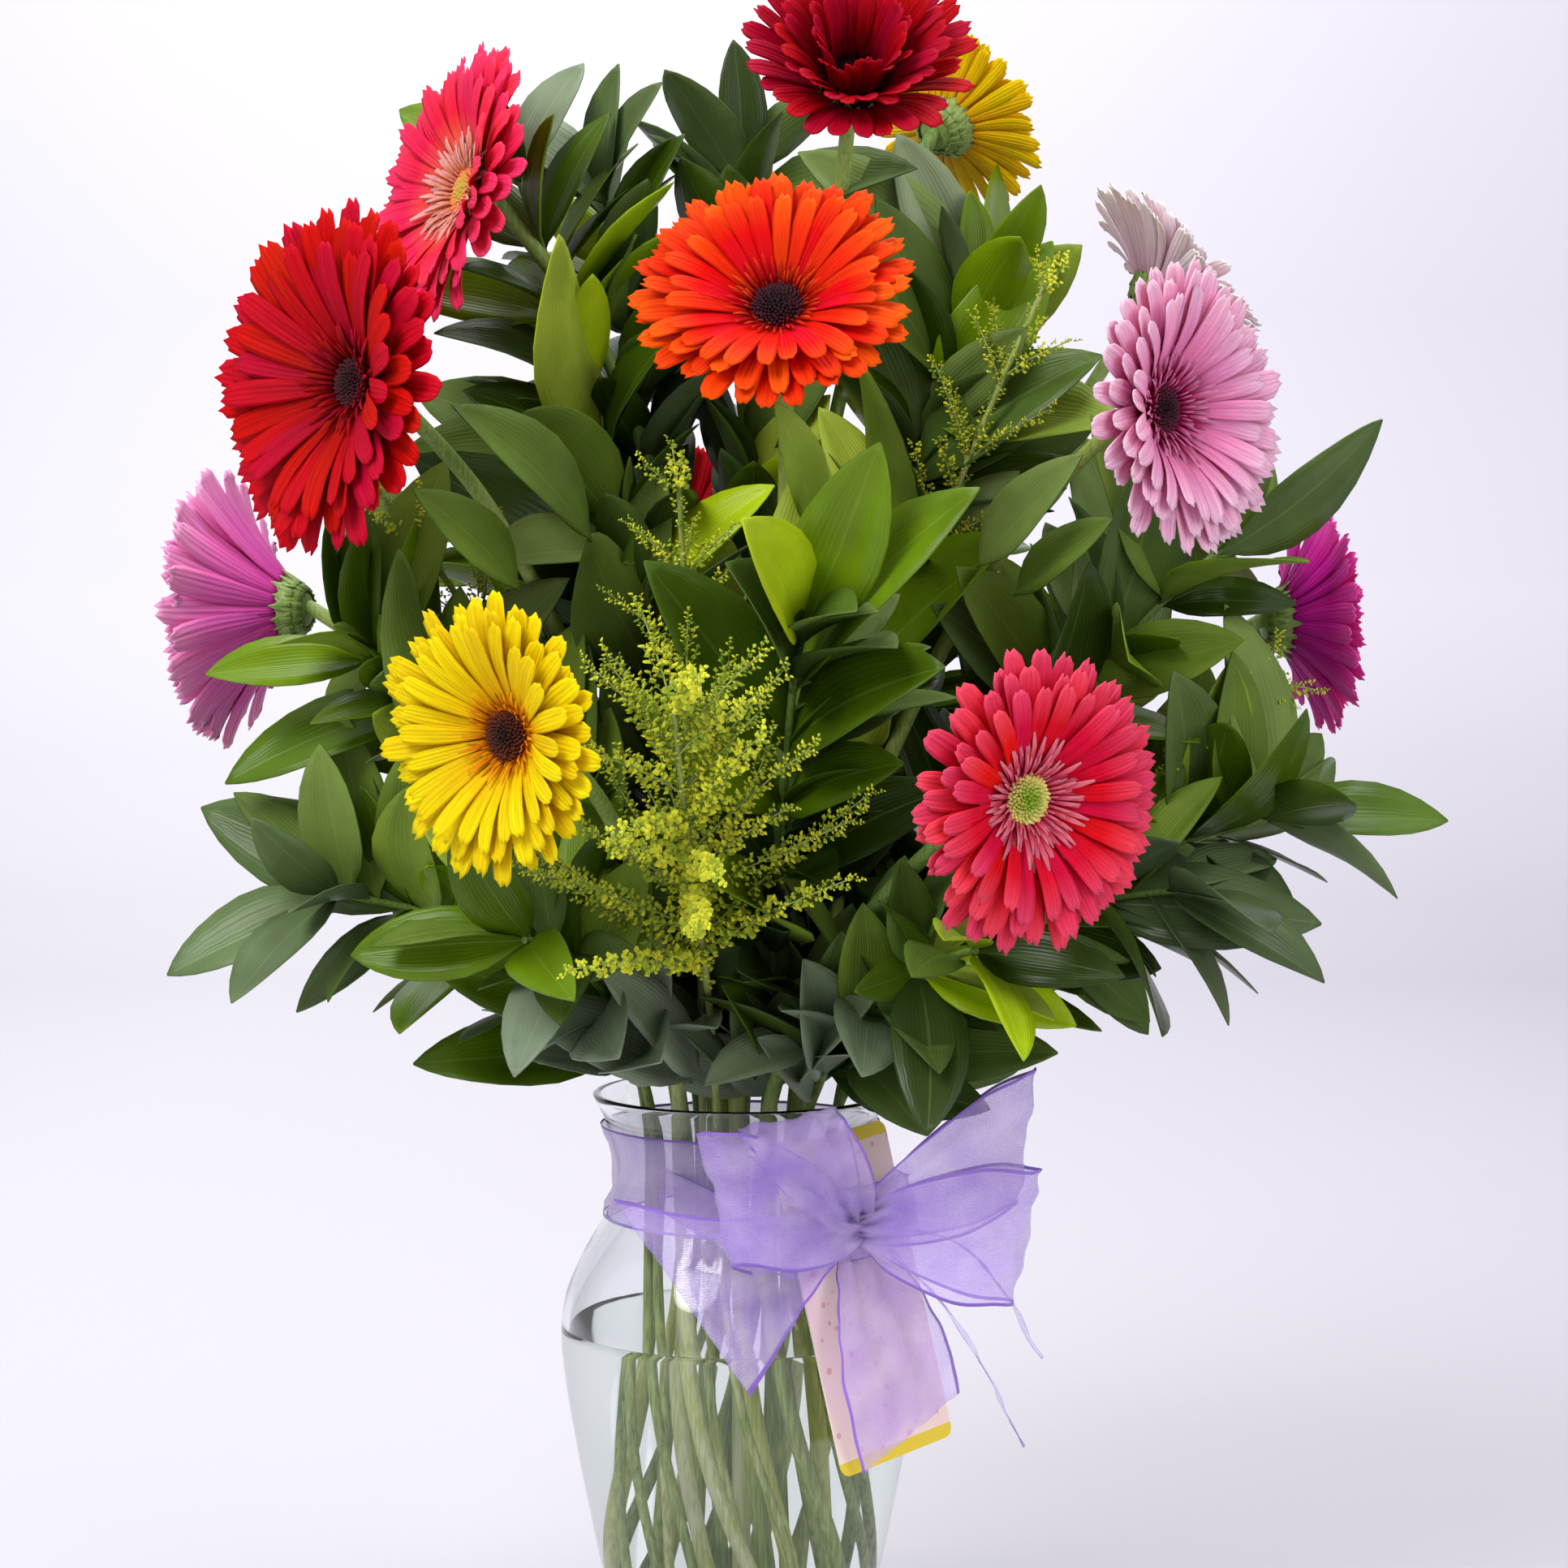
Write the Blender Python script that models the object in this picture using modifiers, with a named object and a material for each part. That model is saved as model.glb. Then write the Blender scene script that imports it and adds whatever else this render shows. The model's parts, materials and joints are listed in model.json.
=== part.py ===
import math
import random
from collections import namedtuple
from itertools import chain, islice

import bmesh
import bpy
from mathutils import Matrix, Vector
from mathutils.bvhtree import BVHTree

# A tied bunch of gerberas, broad-leaf ruscus and goldenrod standing in a clear glass vase.
# Metres, +Z up, +X right, -Y front. The origin is the centre of the vase's flat base.
GAP = 0.0003
SEED = 7

# Glass vase: radius at each height down the outer side
VASE_OUTER = (
    (0.0550, 0.235),
    (0.0500, 0.224),
    (0.0460, 0.207),
    (0.0490, 0.193),
    (0.0580, 0.177),
    (0.0650, 0.161),
    (0.0670, 0.145),
    (0.0650, 0.125),
    (0.0600, 0.096),
    (0.0540, 0.066),
    (0.0480, 0.038),
    (0.0450, 0.014),
    (0.0460, 0.000),
)
VASE_WALL = 0.003
VASE_FLOOR = 0.013
VASE_SIDES = 24
WATER_LEVEL = 0.148

# Stems
NECK_Z = 0.207
SEAT_RINGS = ((1, 0.0), (6, 0.0115), (11, 0.0225), (14, 0.0340))
LOWEST_CUT = 0.052
HIGHEST_CUT = 0.082
HAND_TWIST = math.radians(52)
HAND_SPREAD = 0.20
STEPS_IN_VASE = 3
STEM_CLEARANCE = 0.00035
GERBERA_STEM = 0.0028
STEM_NOD = 0.5
RUSCUS_STEM = 0.0019
GOLDENROD_STEM = 0.0016

# Gerbera heads
PETALS_IN_ROW = 10
EYE_RADIUS = 0.0095
CUP_RADIUS = 0.0140
CUP_DEPTH = 0.0050
CALYX_DEPTH = 0.0110
PETAL_WIDTH = 0.0136
PETAL_ROOM = 0.94
ROW_LIFTS = (4, -7)
PETAL_KEEL = 0.0014
# A petal's sections: share of its length, then width, keel depth and bow there
PETAL_SECTIONS = {0.55: (1.0, 1.0, 0.03), 1.0: (0.52, 0.55, 0.0)}
CREST_SECTIONS = {0.60: (0.55, 0.9, 0.0), 1.0: (0.18, 0.55, 0.0)}
CREST_SHARE = 0.60
CREST_LIFT = 26

# Leafy stems: bare above the neck, then a node of leaves about every so often
BARE_LENGTH = 0.045
NODE_SPACING = 0.027
NODE_LENGTH = 0.0056
LAST_NODE = 0.97
LEAVES_AT_NODE = 3
LEAF_LENGTHS = (0.060, 0.080)
SHORTER_AT_TOP = 0.22
LEAF_THICKNESS = 0.0012
GOLDEN_ANGLE = math.radians(137.5)
LEAF_OPENING = (40, 62)
# A leaf's sections: share of its length, then half its width and its arch there, as shares of its length
LEAF_SECTIONS = {0.30: (0.185, 0.05), 0.66: (0.170, 0.06)}
PLAIN_LEAF_SECTIONS = {0.44: (0.225, 0.06)}
LEAF_ROOM = 0.0008
LIGHT_CHOICES = 7
# Ways to move a leaf that would meet something: degrees round the stem, degrees closer, and the
# share of its length that is left
LEAF_TRIALS = tuple(
    (turn, close, scale)
    for scale in (1.0, 0.88, 0.75)
    for close in (0, -14, 14, -28, 28)
    for turn in (0, 9, -9, 18, -18, 30, -30, 45, -45, 65, -65)
)

# Goldenrod side sprays
SPRAYS_AT_NODE = 2
TWIG_RADIUS = 0.0011
TUFT_RADIUS = 0.0032
SPRAY_POINTS = 7
SPRAY_RISE = 0.95
SPRAY_SPREAD = 0.80
SPRAY_SAG = 0.12
SPRAY_TRIALS = (0, 25, -25, 50, -50, 80, -80, 115, -115, 150)

# Card and ribbon
CARD_WIDTH = 0.058
CARD_LENGTH = 0.118
CARD_THICKNESS = 0.0007
CARD_BEARING = math.radians(44)
CARD_SLOPE = 0.206
CARD_TURN = math.radians(6)
CARD_TOP_Z = 0.226
CARD_TOP_RADIUS = 0.0522
RIBBON_THICKNESS = 0.0009
BAND_THICKNESS = 0.0020
BAND_Z = 0.206
KNOT_ON_CARD = 0.027
KNOT_HALF = (0.009, 0.013, 0.0066)
STRAP_HALF = 0.011
STRAP_RADIUS = 0.0484
STRAP_ENDS = (-36, 124)
# Bow loops: the far end's centre, half the ribbon's width there and how far the two faces bulge
BOW_LOOPS = (
    ((0.098, -0.066, 0.232), (0.006, 0, 0.024), 0.009),
    ((0.100, -0.070, 0.186), (0.006, 0, 0.022), 0.008),
    ((-0.006, -0.096, 0.212), (-0.006, 0, 0.022), 0.006),
)
# Stations of a loop: share of the way to the far end, how wide, and which side of its middle
LOOP_ROWS = (
    (0.02, 0.0, -0.3), (0.30, 0.55, -0.9), (0.70, 1.0, -1.0), (0.97, 1.0, -0.5), (1.00, 1.0, 0.0),
    (0.97, 1.0, 0.5), (0.70, 1.0, 1.0), (0.30, 0.55, 0.9), (0.02, 0.0, 0.3),
)
# Tails: centre and half the width at each station, the right one in the card's own axes
LEFT_TAIL = (
    ((0.014, -0.077, 0.186), (-0.008, 0, 0.016)),
    ((-0.004, -0.080, 0.178), (-0.016, 0, 0.026)),
    ((-0.020, -0.077, 0.174), (-0.024, 0.006, 0.034)),
)
RIGHT_TAIL = (
    ((0.004, 0.006, 0.009), (0.013, 0.004, 0.001)),
    ((0.010, -0.024, 0.012), (0.018, 0.005, 0.002)),
    ((0.016, -0.056, 0.010), (0.021, 0.010, 0.003)),
)

Bloom = namedtuple("Bloom", "name centre bearing lift radius cup petals eye crest")
BLOOMS = (
    Bloom("crimson", (0.041, -0.020, 0.605), 5, 31, 0.047, 38, "7A0716", "2A0508", False),
    Bloom("yellow_back", (0.079, 0.066, 0.600), 140, 30, 0.038, 18, "F4C20A", "5A2A0C", False),
    Bloom("orange", (0.014, -0.130, 0.516), -8, 33, 0.048, 22, "F2470D", "331018", False),
    Bloom("red_left", (-0.131, -0.090, 0.493), -46, 5, 0.060, 20, "C4081C", "3A0A10", False),
    Bloom("coral_left", (-0.098, -0.020, 0.565), -60, 15, 0.053, 16, "E8335E", "F08A50", True),
    Bloom("magenta_left", (-0.174, 0.040, 0.414), -105, 0, 0.060, 38, "E24AA0", "4A1230", False),
    Bloom("yellow_front", (-0.074, -0.150, 0.375), -38, -3, 0.048, 22, "FBC408", "5A2408", False),
    Bloom("coral_front", (0.095, -0.150, 0.354), 33, -5, 0.050, 17, "E8224A", "C8A830", True),
    Bloom("pink_right", (0.145, -0.090, 0.484), 46, 2, 0.051, 24, "F28CBC", "4A1228", True),
    Bloom("pale_back", (0.160, 0.052, 0.534), 100, 40, 0.047, 20, "F6D8E2", "7A3048", False),
    Bloom("magenta_right", (0.206, 0.030, 0.410), 100, 4, 0.046, 30, "C0288C", "4A1230", False),
    Bloom("red_back", (-0.030, 0.155, 0.430), 172, 14, 0.052, 18, "C8182A", "3A0A10", False),
)

# Each leafy stem: its tip, how steeply it ends there, and the leaf tips that show, each with the
# share of the stem that it grows from. Further leaves fill the nodes by the growth rule.
Ruscus = namedtuple("Ruscus", "name tip rise heroes")
RUSCUS = (
    Ruscus("up_left", (-0.084, 0.000, 0.580), 70, (
        (0.94, (-0.096, -0.012, 0.604)), (0.80, (-0.104, -0.046, 0.560)),
        (0.66, (-0.063, -0.060, 0.546)), (0.55, (-0.118, -0.030, 0.470)),
        (0.60, (-0.074, -0.074, 0.484)), (0.48, (-0.052, -0.082, 0.440)))),
    Ruscus("top_left", (-0.052, 0.020, 0.575), 80, (
        (0.97, (-0.054, 0.018, 0.616)), (0.90, (-0.045, 0.062, 0.606)),
        (0.74, (-0.050, -0.050, 0.512)), (0.58, (-0.018, -0.052, 0.492)))),
    Ruscus("top", (0.000, 0.050, 0.590), 82, (
        (0.97, (-0.003, 0.040, 0.628)), (0.88, (-0.034, 0.064, 0.592)),
        (0.72, (0.042, 0.040, 0.562)))),
    Ruscus("top_right", (0.088, 0.010, 0.540), 72, (
        (0.97, (0.094, 0.012, 0.568)), (0.90, (0.074, 0.000, 0.562)),
        (0.90, (0.106, 0.036, 0.590)), (0.74, (0.130, -0.030, 0.506)),
        (0.62, (0.060, -0.055, 0.500)), (0.64, (0.124, -0.016, 0.468)),
        (0.52, (0.106, -0.052, 0.438)), (0.82, (0.116, 0.000, 0.548)))),
    Ruscus("right", (0.178, -0.020, 0.440), 42, (
        (0.97, (0.236, 0.000, 0.484)), (0.86, (0.198, -0.078, 0.432)),
        (0.72, (0.134, -0.100, 0.398)), (0.60, (0.122, -0.078, 0.432)),
        (0.80, (0.168, -0.064, 0.470)))),
    Ruscus("right_low", (0.198, -0.020, 0.340), 14, (
        (0.98, (0.258, -0.022, 0.352)), (0.86, (0.200, -0.062, 0.380)),
        (0.74, (0.196, 0.052, 0.330)))),
    Ruscus("low_right", (0.158, -0.050, 0.314), -6, (
        (0.98, (0.214, -0.052, 0.282)), (0.88, (0.204, -0.014, 0.318)),
        (0.90, (0.190, -0.086, 0.248)), (0.72, (0.150, -0.100, 0.262)))),
    Ruscus("front_right", (0.082, -0.112, 0.300), 6, (
        (0.98, (0.128, -0.136, 0.290)), (0.86, (0.064, -0.132, 0.240)),
        (0.70, (0.040, -0.112, 0.286)))),
    Ruscus("left_low", (-0.150, -0.030, 0.312), 2, (
        (0.98, (-0.208, -0.030, 0.286)), (0.92, (-0.184, -0.052, 0.264)),
        (0.84, (-0.198, -0.010, 0.342)), (0.70, (-0.118, -0.082, 0.268)))),
    Ruscus("left", (-0.138, -0.030, 0.400), 30, (
        (0.98, (-0.190, -0.046, 0.392)), (0.86, (-0.186, -0.030, 0.352)),
        (0.80, (-0.146, 0.030, 0.470)), (0.66, (-0.118, -0.078, 0.436)),
        (0.56, (-0.104, -0.070, 0.404)))),
    Ruscus("front_left", (-0.074, -0.096, 0.302), 4, (
        (0.98, (-0.134, -0.088, 0.296)), (0.86, (-0.090, -0.108, 0.258)),
        (0.66, (-0.052, -0.112, 0.276)), (0.40, (-0.026, -0.112, 0.262)))),
    Ruscus("centre", (0.022, -0.118, 0.412), 52, (
        (0.98, (0.038, -0.140, 0.476)), (0.94, (-0.018, -0.168, 0.440)),
        (0.90, (0.080, -0.146, 0.456)), (0.84, (0.016, -0.176, 0.424)),
        (0.78, (-0.030, -0.138, 0.432)), (0.70, (0.062, -0.158, 0.394)),
        (0.44, (-0.028, -0.126, 0.330)), (0.44, (0.050, -0.128, 0.322)))),
    Ruscus("back_left", (-0.100, 0.110, 0.450), 46, ()),
    Ruscus("back_right", (0.095, 0.120, 0.440), 46, ()),
    Ruscus("back_low", (0.010, 0.165, 0.330), 8, ()),
)

# Goldenrod plumes: tip, end slope, how far the lowest side sprays reach, the nodes they stand at
# and where those start
Plume = namedtuple("Plume", "name tip rise reach nodes start")
PLUMES = (
    Plume("front", (-0.020, -0.160, 0.388), 66, 0.078, 8, 0.44),
    Plume("middle", (-0.020, -0.100, 0.462), 76, 0.038, 4, 0.62),
    Plume("left", (-0.134, -0.030, 0.462), 50, 0.042, 4, 0.64),
    Plume("right", (0.196, -0.020, 0.392), 38, 0.038, 4, 0.68),
    Plume("upper_right", (0.112, -0.030, 0.536), 64, 0.038, 4, 0.68),
)

# Surfaces
GLASS = ("E6EEF0", 0.02, 0.9)
WATER = ("DCE8E6", 0.02, 0.9)
STEM_GREEN = "6E8F3A"
LEAF_GREEN = "3F7A16"
GOLDENROD_YELLOW = "C8C83A"
RIBBON_LILAC = "8E6FD0"
CARD_CREAM = "F3EEDC"


def clear_scene():
    for obj in list(bpy.data.objects):
        bpy.data.objects.remove(obj, do_unlink=True)


def new_collection(name):
    made = bpy.data.collections.new(name)
    bpy.context.scene.collection.children.link(made)
    return made


def linear(hex_colour):
    channels = [int(hex_colour[i : i + 2], 16) / 255 for i in (0, 2, 4)]
    return [c / 12.92 if c <= 0.04045 else ((c + 0.055) / 1.055) ** 2.4 for c in channels]


def material(name, hex_colour, roughness=0.5, transmission=0.0):
    made = bpy.data.materials.new(name)
    made.use_nodes = True
    shader = made.node_tree.nodes["Principled BSDF"]
    shader.inputs["Base Color"].default_value = (*linear(hex_colour), 1)
    shader.inputs["Roughness"].default_value = roughness
    shader.inputs["Metallic"].default_value = 0.0
    shader.inputs["Transmission Weight"].default_value = transmission
    return made


def mesh_of(points, faces, name="piece"):
    mesh = bpy.data.meshes.new(name)
    mesh.from_pydata([tuple(p) for p in points], [], faces)
    mesh.update()
    return mesh


def add_object(name, mesh, collection, surface=None, frame=None):
    obj = bpy.data.objects.new(name, mesh)
    collection.objects.link(obj)
    if frame is not None:
        obj.matrix_world = frame
    if surface is not None:
        mesh.materials.clear()
        mesh.materials.append(surface)
    return obj


def evaluated_mesh(obj):
    bpy.context.view_layer.update()
    graph = bpy.context.evaluated_depsgraph_get()
    return bpy.data.meshes.new_from_object(obj.evaluated_get(graph))


# Rings of points in order joined by faces, closed at the root and by a tip point
def loft(sections, tip):
    size = len(sections[0])
    points = [p for ring in sections for p in ring]
    faces = [tuple(reversed(range(size)))]
    for row in range(len(sections) - 1):
        for k in range(size):
            a, b = row * size + k, row * size + (k + 1) % size
            faces += [(a, b, b + size), (a, b + size, a + size)]
    last = (len(sections) - 1) * size
    points.append(tip)
    faces += [(last + k, last + (k + 1) % size, len(points) - 1) for k in range(size)]
    return points, faces


# A stem as a bevelled poly curve with filled caps, made a mesh with its caps welded
def tube_mesh(points, radius, resolution, taper=1.0):
    curve = bpy.data.curves.new("stem_line", "CURVE")
    curve.dimensions = "3D"
    curve.bevel_depth = radius
    curve.bevel_resolution = resolution
    curve.use_fill_caps = True
    spline = curve.splines.new("POLY")
    spline.points.add(len(points) - 1)
    for k, point in enumerate(points):
        spline.points[k].co = (*point, 1)
        spline.points[k].radius = 1 + (taper - 1) * k / (len(points) - 1)
    line = add_object("stem_line", curve, bpy.context.scene.collection)
    mesh = evaluated_mesh(line)
    bpy.data.objects.remove(line, do_unlink=True)
    shape = bmesh.new()
    shape.from_mesh(mesh)
    bmesh.ops.remove_doubles(shape, verts=shape.verts, dist=1e-5)
    bmesh.ops.recalc_face_normals(shape, faces=shape.faces)
    shape.to_mesh(mesh)
    shape.free()
    return mesh


# The base mesh and the pieces, all meshes, joined in one body by one Boolean union
def fused(base, pieces):
    helpers = new_collection("pieces_to_join")
    for mesh in pieces:
        add_object("piece", mesh, helpers)
    body = add_object("body", base, bpy.context.scene.collection)
    join = body.modifiers.new("join", "BOOLEAN")
    join.operation = "UNION"
    join.operand_type = "COLLECTION"
    join.collection = helpers
    join.solver = "EXACT"
    mesh = evaluated_mesh(body)
    for obj in [body, *helpers.objects]:
        bpy.data.objects.remove(obj, do_unlink=True)
    bpy.data.collections.remove(helpers)
    return largest_body(mesh)


# Drops the loose scraps and sealed hollows that a union may leave
def largest_body(mesh):
    shape = bmesh.new()
    shape.from_mesh(mesh)
    left = set(shape.verts)
    bodies = []
    while left:
        body, edge = set(), [left.pop()]
        while edge:
            vert = edge.pop()
            body.add(vert)
            near = {other.other_vert(vert) for other in vert.link_edges} & left
            left -= near
            edge.extend(near)
        bodies.append(body)
    keep = max(bodies, key=len)
    bmesh.ops.delete(shape, geom=[v for v in shape.verts if v not in keep], context="VERTS")
    shape.to_mesh(mesh)
    shape.free()
    return mesh


def world_tree(mesh, frame=None):
    frame = frame or Matrix()
    points = [frame @ v.co for v in mesh.vertices]
    return BVHTree.FromPolygons(points, [tuple(p.vertices) for p in mesh.polygons])


# A frame at a flower's centre whose Z axis is the way the flower faces
def facing_frame(centre, bearing, lift):
    turn, rise = math.radians(bearing), math.radians(lift)
    out = Vector((math.sin(turn) * math.cos(rise), -math.cos(turn) * math.cos(rise), math.sin(rise)))
    return Matrix.Translation(centre) @ out.to_track_quat("Z", "Y").to_matrix().to_4x4()


# Vase and water


# The inside of the glass from the rim down to the floor, a wall's thickness in from the outside,
# with its lowest corner rounded in two steps
def inner_wall():
    rows = [(r - VASE_WALL, z) for r, z in VASE_OUTER if z > VASE_FLOOR + 0.012]
    lowest = rows[-1][0]
    return [*rows, (lowest - 0.006, VASE_FLOOR + 0.004), (lowest - 0.014, VASE_FLOOR)]


def wall_radius(rows, height):
    for (r0, z0), (r1, z1) in zip(rows, rows[1:]):
        if z1 <= height <= z0:
            return r1 + (r0 - r1) * (height - z1) / (z0 - z1)
    return rows[0][0]


# A profile at +X that runs down the outer side, turned once round the vase's axis
def turned(name, profile, collection, surface):
    mesh = bpy.data.meshes.new(name)
    shape = bmesh.new()
    corners = [shape.verts.new((r, 0, z)) for r, z in profile]
    for a, b in zip(corners, corners[1:]):
        shape.edges.new((a, b))
    if profile[0][0] > 0:
        shape.edges.new((corners[-1], corners[0]))
    shape.to_mesh(mesh)
    shape.free()
    obj = add_object(name, mesh, collection, surface)
    screw = obj.modifiers.new("turn", "SCREW")
    screw.steps = screw.render_steps = VASE_SIDES
    screw.use_merge_vertices = True
    screw.merge_threshold = 0.00005
    screw.use_smooth_shade = True
    return obj


def build_vase(collection):
    inside = list(reversed(inner_wall()))
    profile = [(0, VASE_FLOOR), *inside, *VASE_OUTER, (0, 0)]
    return turned("vase", profile, collection, material("clear_glass", *GLASS))


# Water as far as its level, with a plain hole round every stem that stands in it
def build_water(collection, cutters, stems):
    wall = inner_wall()
    below = [(r - GAP, z) for r, z in wall if z < WATER_LEVEL]
    below[-1] = (below[-1][0], VASE_FLOOR + GAP)
    profile = [(0, WATER_LEVEL), (wall_radius(wall, WATER_LEVEL) - GAP, WATER_LEVEL), *below]
    obj = turned("water", [*profile, (0, VASE_FLOOR + GAP)], collection, material("water", *WATER))
    cut = obj.modifiers.new("stem_holes", "BOOLEAN")
    cut.operation = "DIFFERENCE"
    cut.operand_type = "COLLECTION"
    cut.collection = cutters
    cut.solver = "EXACT"
    for stem in stems:
        line = stem_line(stem, (0,))
        start = line[0] + (line[0] - line[1]).normalized() * GAP
        mesh = tube_mesh([start, *line[1:]], stem.radius + STEM_CLEARANCE, stem.resolution)
        cutter = add_object("hole_" + stem.name, mesh, cutters)
        cutter.hide_render = True
        cutter.display_type = "WIRE"
    return obj


# Stems

Stem = namedtuple("Stem", "name vase_line curve radius resolution")


def bearing_of(point):
    return math.atan2(point[0], -point[1])


# How far a stem leans out: the angle from upright, at the neck, of the way to its end
def spread_of(point):
    return math.atan2(math.hypot(point[0], point[1]), point[2] - NECK_Z)


def wrapped(angle):
    return (angle + math.pi) % (2 * math.pi) - math.pi


# Where each stem passes the neck: upright stems in the middle, low ones by the glass, and each
# on its own side
def neck_seats(targets):
    order = sorted(targets, key=lambda name: spread_of(targets[name]))
    seats = {}
    for count, radius in SEAT_RINGS:
        ring = sorted(order[:count], key=lambda name: bearing_of(targets[name]))
        order = order[count:]
        size = len(ring)
        best = None
        for shift in range(size):
            off = [
                wrapped(bearing_of(targets[name]) - 2 * math.pi * (k + shift) / size)
                for k, name in enumerate(ring)
            ]
            mean = math.atan2(sum(map(math.sin, off)), sum(map(math.cos, off)))
            cost = sum(wrapped(a - mean) ** 2 for a in off)
            if best is None or cost < best[0]:
                best = (cost, shift, mean)
        for k, name in enumerate(ring):
            turn = 2 * math.pi * (k + best[1]) / size + best[2]
            seats[name] = Vector((radius * math.sin(turn), -radius * math.cos(turn)))
    return seats


# From the cut end up to the neck, round the shared twist of the tied bunch
def vase_line(seat, cut):
    line = []
    for k in range(STEPS_IN_VASE):
        height = cut + (NECK_Z - cut) * k / STEPS_IN_VASE
        share = (NECK_Z - height) / (NECK_Z - LOWEST_CUT)
        turn, wide = HAND_TWIST * share**2, 1 + HAND_SPREAD * share**2
        x = wide * (seat.x * math.cos(turn) - seat.y * math.sin(turn))
        y = wide * (seat.x * math.sin(turn) + seat.y * math.cos(turn))
        line.append(Vector((x, y, height)))
    return line


# The four control points of the smooth curve from the neck, where it rises straight, to the end
def free_curve(seat, end, heading):
    start = Vector((seat.x, seat.y, NECK_Z))
    reach = (end - start).length
    return start, start + Vector((0, 0, 0.32 * reach)), end - heading * 0.30 * reach, end


# Point and direction at a share of the free length above the neck
def along(stem, share):
    a, b, c, d = stem.curve
    u = 1 - share
    point = a * u**3 + b * 3 * u * u * share + c * 3 * u * share**2 + d * share**3
    slope = (b - a) * u * u + (c - b) * 2 * u * share + (d - c) * share**2
    return point, slope.normalized()


def stem_line(stem, shares):
    return stem.vase_line + [along(stem, share)[0] for share in shares]


def free_length(stem):
    return (stem.curve[3] - stem.curve[0]).length


def even_shares(steps):
    return [k / steps for k in range(steps + 1)]


def outward(tip, rise):
    flat = Vector((tip[0], tip[1], 0)).normalized()
    slope = math.radians(rise)
    return flat * math.cos(slope) + Vector((0, 0, math.sin(slope)))


# A stem's points above the neck: two close together at each node, one between it and the neck
def noded_line(stem, nodes):
    half = NODE_LENGTH / 2 / free_length(stem)
    shares = [0.0, 0.5 * nodes[0]]
    for share in nodes:
        shares += [share - half, share + half]
    return stem_line(stem, shares)


# A stem with a short length of its own at each node, and the middles of that length's side faces,
# where something may grow
def noded_stem(stem, nodes, taper):
    mesh = tube_mesh(noded_line(stem, nodes), stem.radius, stem.resolution, taper)
    shape = bmesh.new()
    shape.from_mesh(mesh)
    buds = {share: [] for share in nodes}
    for face in shape.faces:
        middle = face.calc_center_median()
        share = min(nodes, key=lambda node: (along(stem, node)[0] - middle).length)
        if (along(stem, share)[0] - middle).length < NODE_LENGTH / 2 and len(face.verts) == 4:
            buds[share].append(middle)
    return mesh, shape, buds


# How far round a four-cornered face its corners start, as seen with the side to the right and up above
def corner_shift(face, side, up):
    middle = face.calc_center_median()
    turns = [math.atan2((v.co - middle).dot(up), (v.co - middle).dot(side)) for v in face.verts]
    quarters = [math.radians(45 + 90 * k) for k in range(4)]

    def misfit(shift):
        return sum(wrapped(turn - quarters[(k + shift) % 4]) ** 2 for k, turn in enumerate(turns))

    return min(range(4), key=misfit)


# The places of a face's four corners at each ring (right, left and lowest point), so that nothing
# twists; two corners share the lowest point
# The row of corners for one ring, in the order of the face it grows from
def corner_row(shape, ring, shift):
    made = {tuple(place): shape.verts.new(place) for place in ring}
    right, left, low = (made[tuple(place)] for place in ring)
    return [(right, left, low, low)[(k + shift) % 4] for k in range(4)]


# Between two rows every face has three corners, cut across the shorter way
def add_side(shape, a, b, c, d):
    corners = list(dict.fromkeys((a, b, c, d)))
    if len(corners) == 3:
        shape.faces.new(corners)
    elif len(corners) == 4 and (a.co - c.co).length < (b.co - d.co).length:
        shape.faces.new((a, b, c))
        shape.faces.new((a, c, d))
    elif len(corners) == 4:
        shape.faces.new((a, b, d))
        shape.faces.new((b, c, d))


# Draws a four-cornered face out through each ring of right, left and low places in turn
def draw_out(shape, face, side, up, rings):
    shift = corner_shift(face, side, up)
    row = list(face.verts)
    shape.faces.remove(face)
    for ring in rings:
        then = corner_row(shape, ring, shift)
        for k in range(4):
            add_side(shape, row[k], row[(k + 1) % 4], then[(k + 1) % 4], then[k])
        row = then
    end = list(dict.fromkeys(row))
    if len(end) == 3:
        shape.faces.new(end)


# What would be drawn out, by itself, to see whether its place is clear
def shape_from(face, side, up, rings):
    alone = bmesh.new()
    corners = [alone.verts.new(vert.co) for vert in face.verts]
    draw_out(alone, alone.faces.new(corners), side, up, rings)
    tree = BVHTree.FromBMesh(alone)
    alone.free()
    return tree


def face_at(shape, middle):
    return min(shape.faces, key=lambda face: (face.calc_center_median() - middle).length_squared)


# The bud that looks most nearly the way something is to grow
def bud_towards(shape, buds, forward):
    turned_to = {k: face_at(shape, bud).normal.dot(forward) for k, bud in enumerate(buds)}
    best = max(turned_to, key=turned_to.get, default=None)
    return buds[best] if best is not None and turned_to[best] > 0.25 else None


# A copy of the shape with something drawn out of a bud, or nothing if it then crosses itself
def grown(shape, bud, side, up, rings):
    trial = shape.copy()
    draw_out(trial, face_at(trial, bud), side, up, rings)
    trial.faces.ensure_lookup_table()
    tree = BVHTree.FromBMesh(trial)
    for a, b in tree.overlap(tree):
        if a < b and not set(trial.faces[a].verts) & set(trial.faces[b].verts):
            trial.free()
            return None
    shape.free()
    return trial


def finished(shape, mesh):
    shape.to_mesh(mesh)
    shape.free()
    return mesh


# Gerberas


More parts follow.
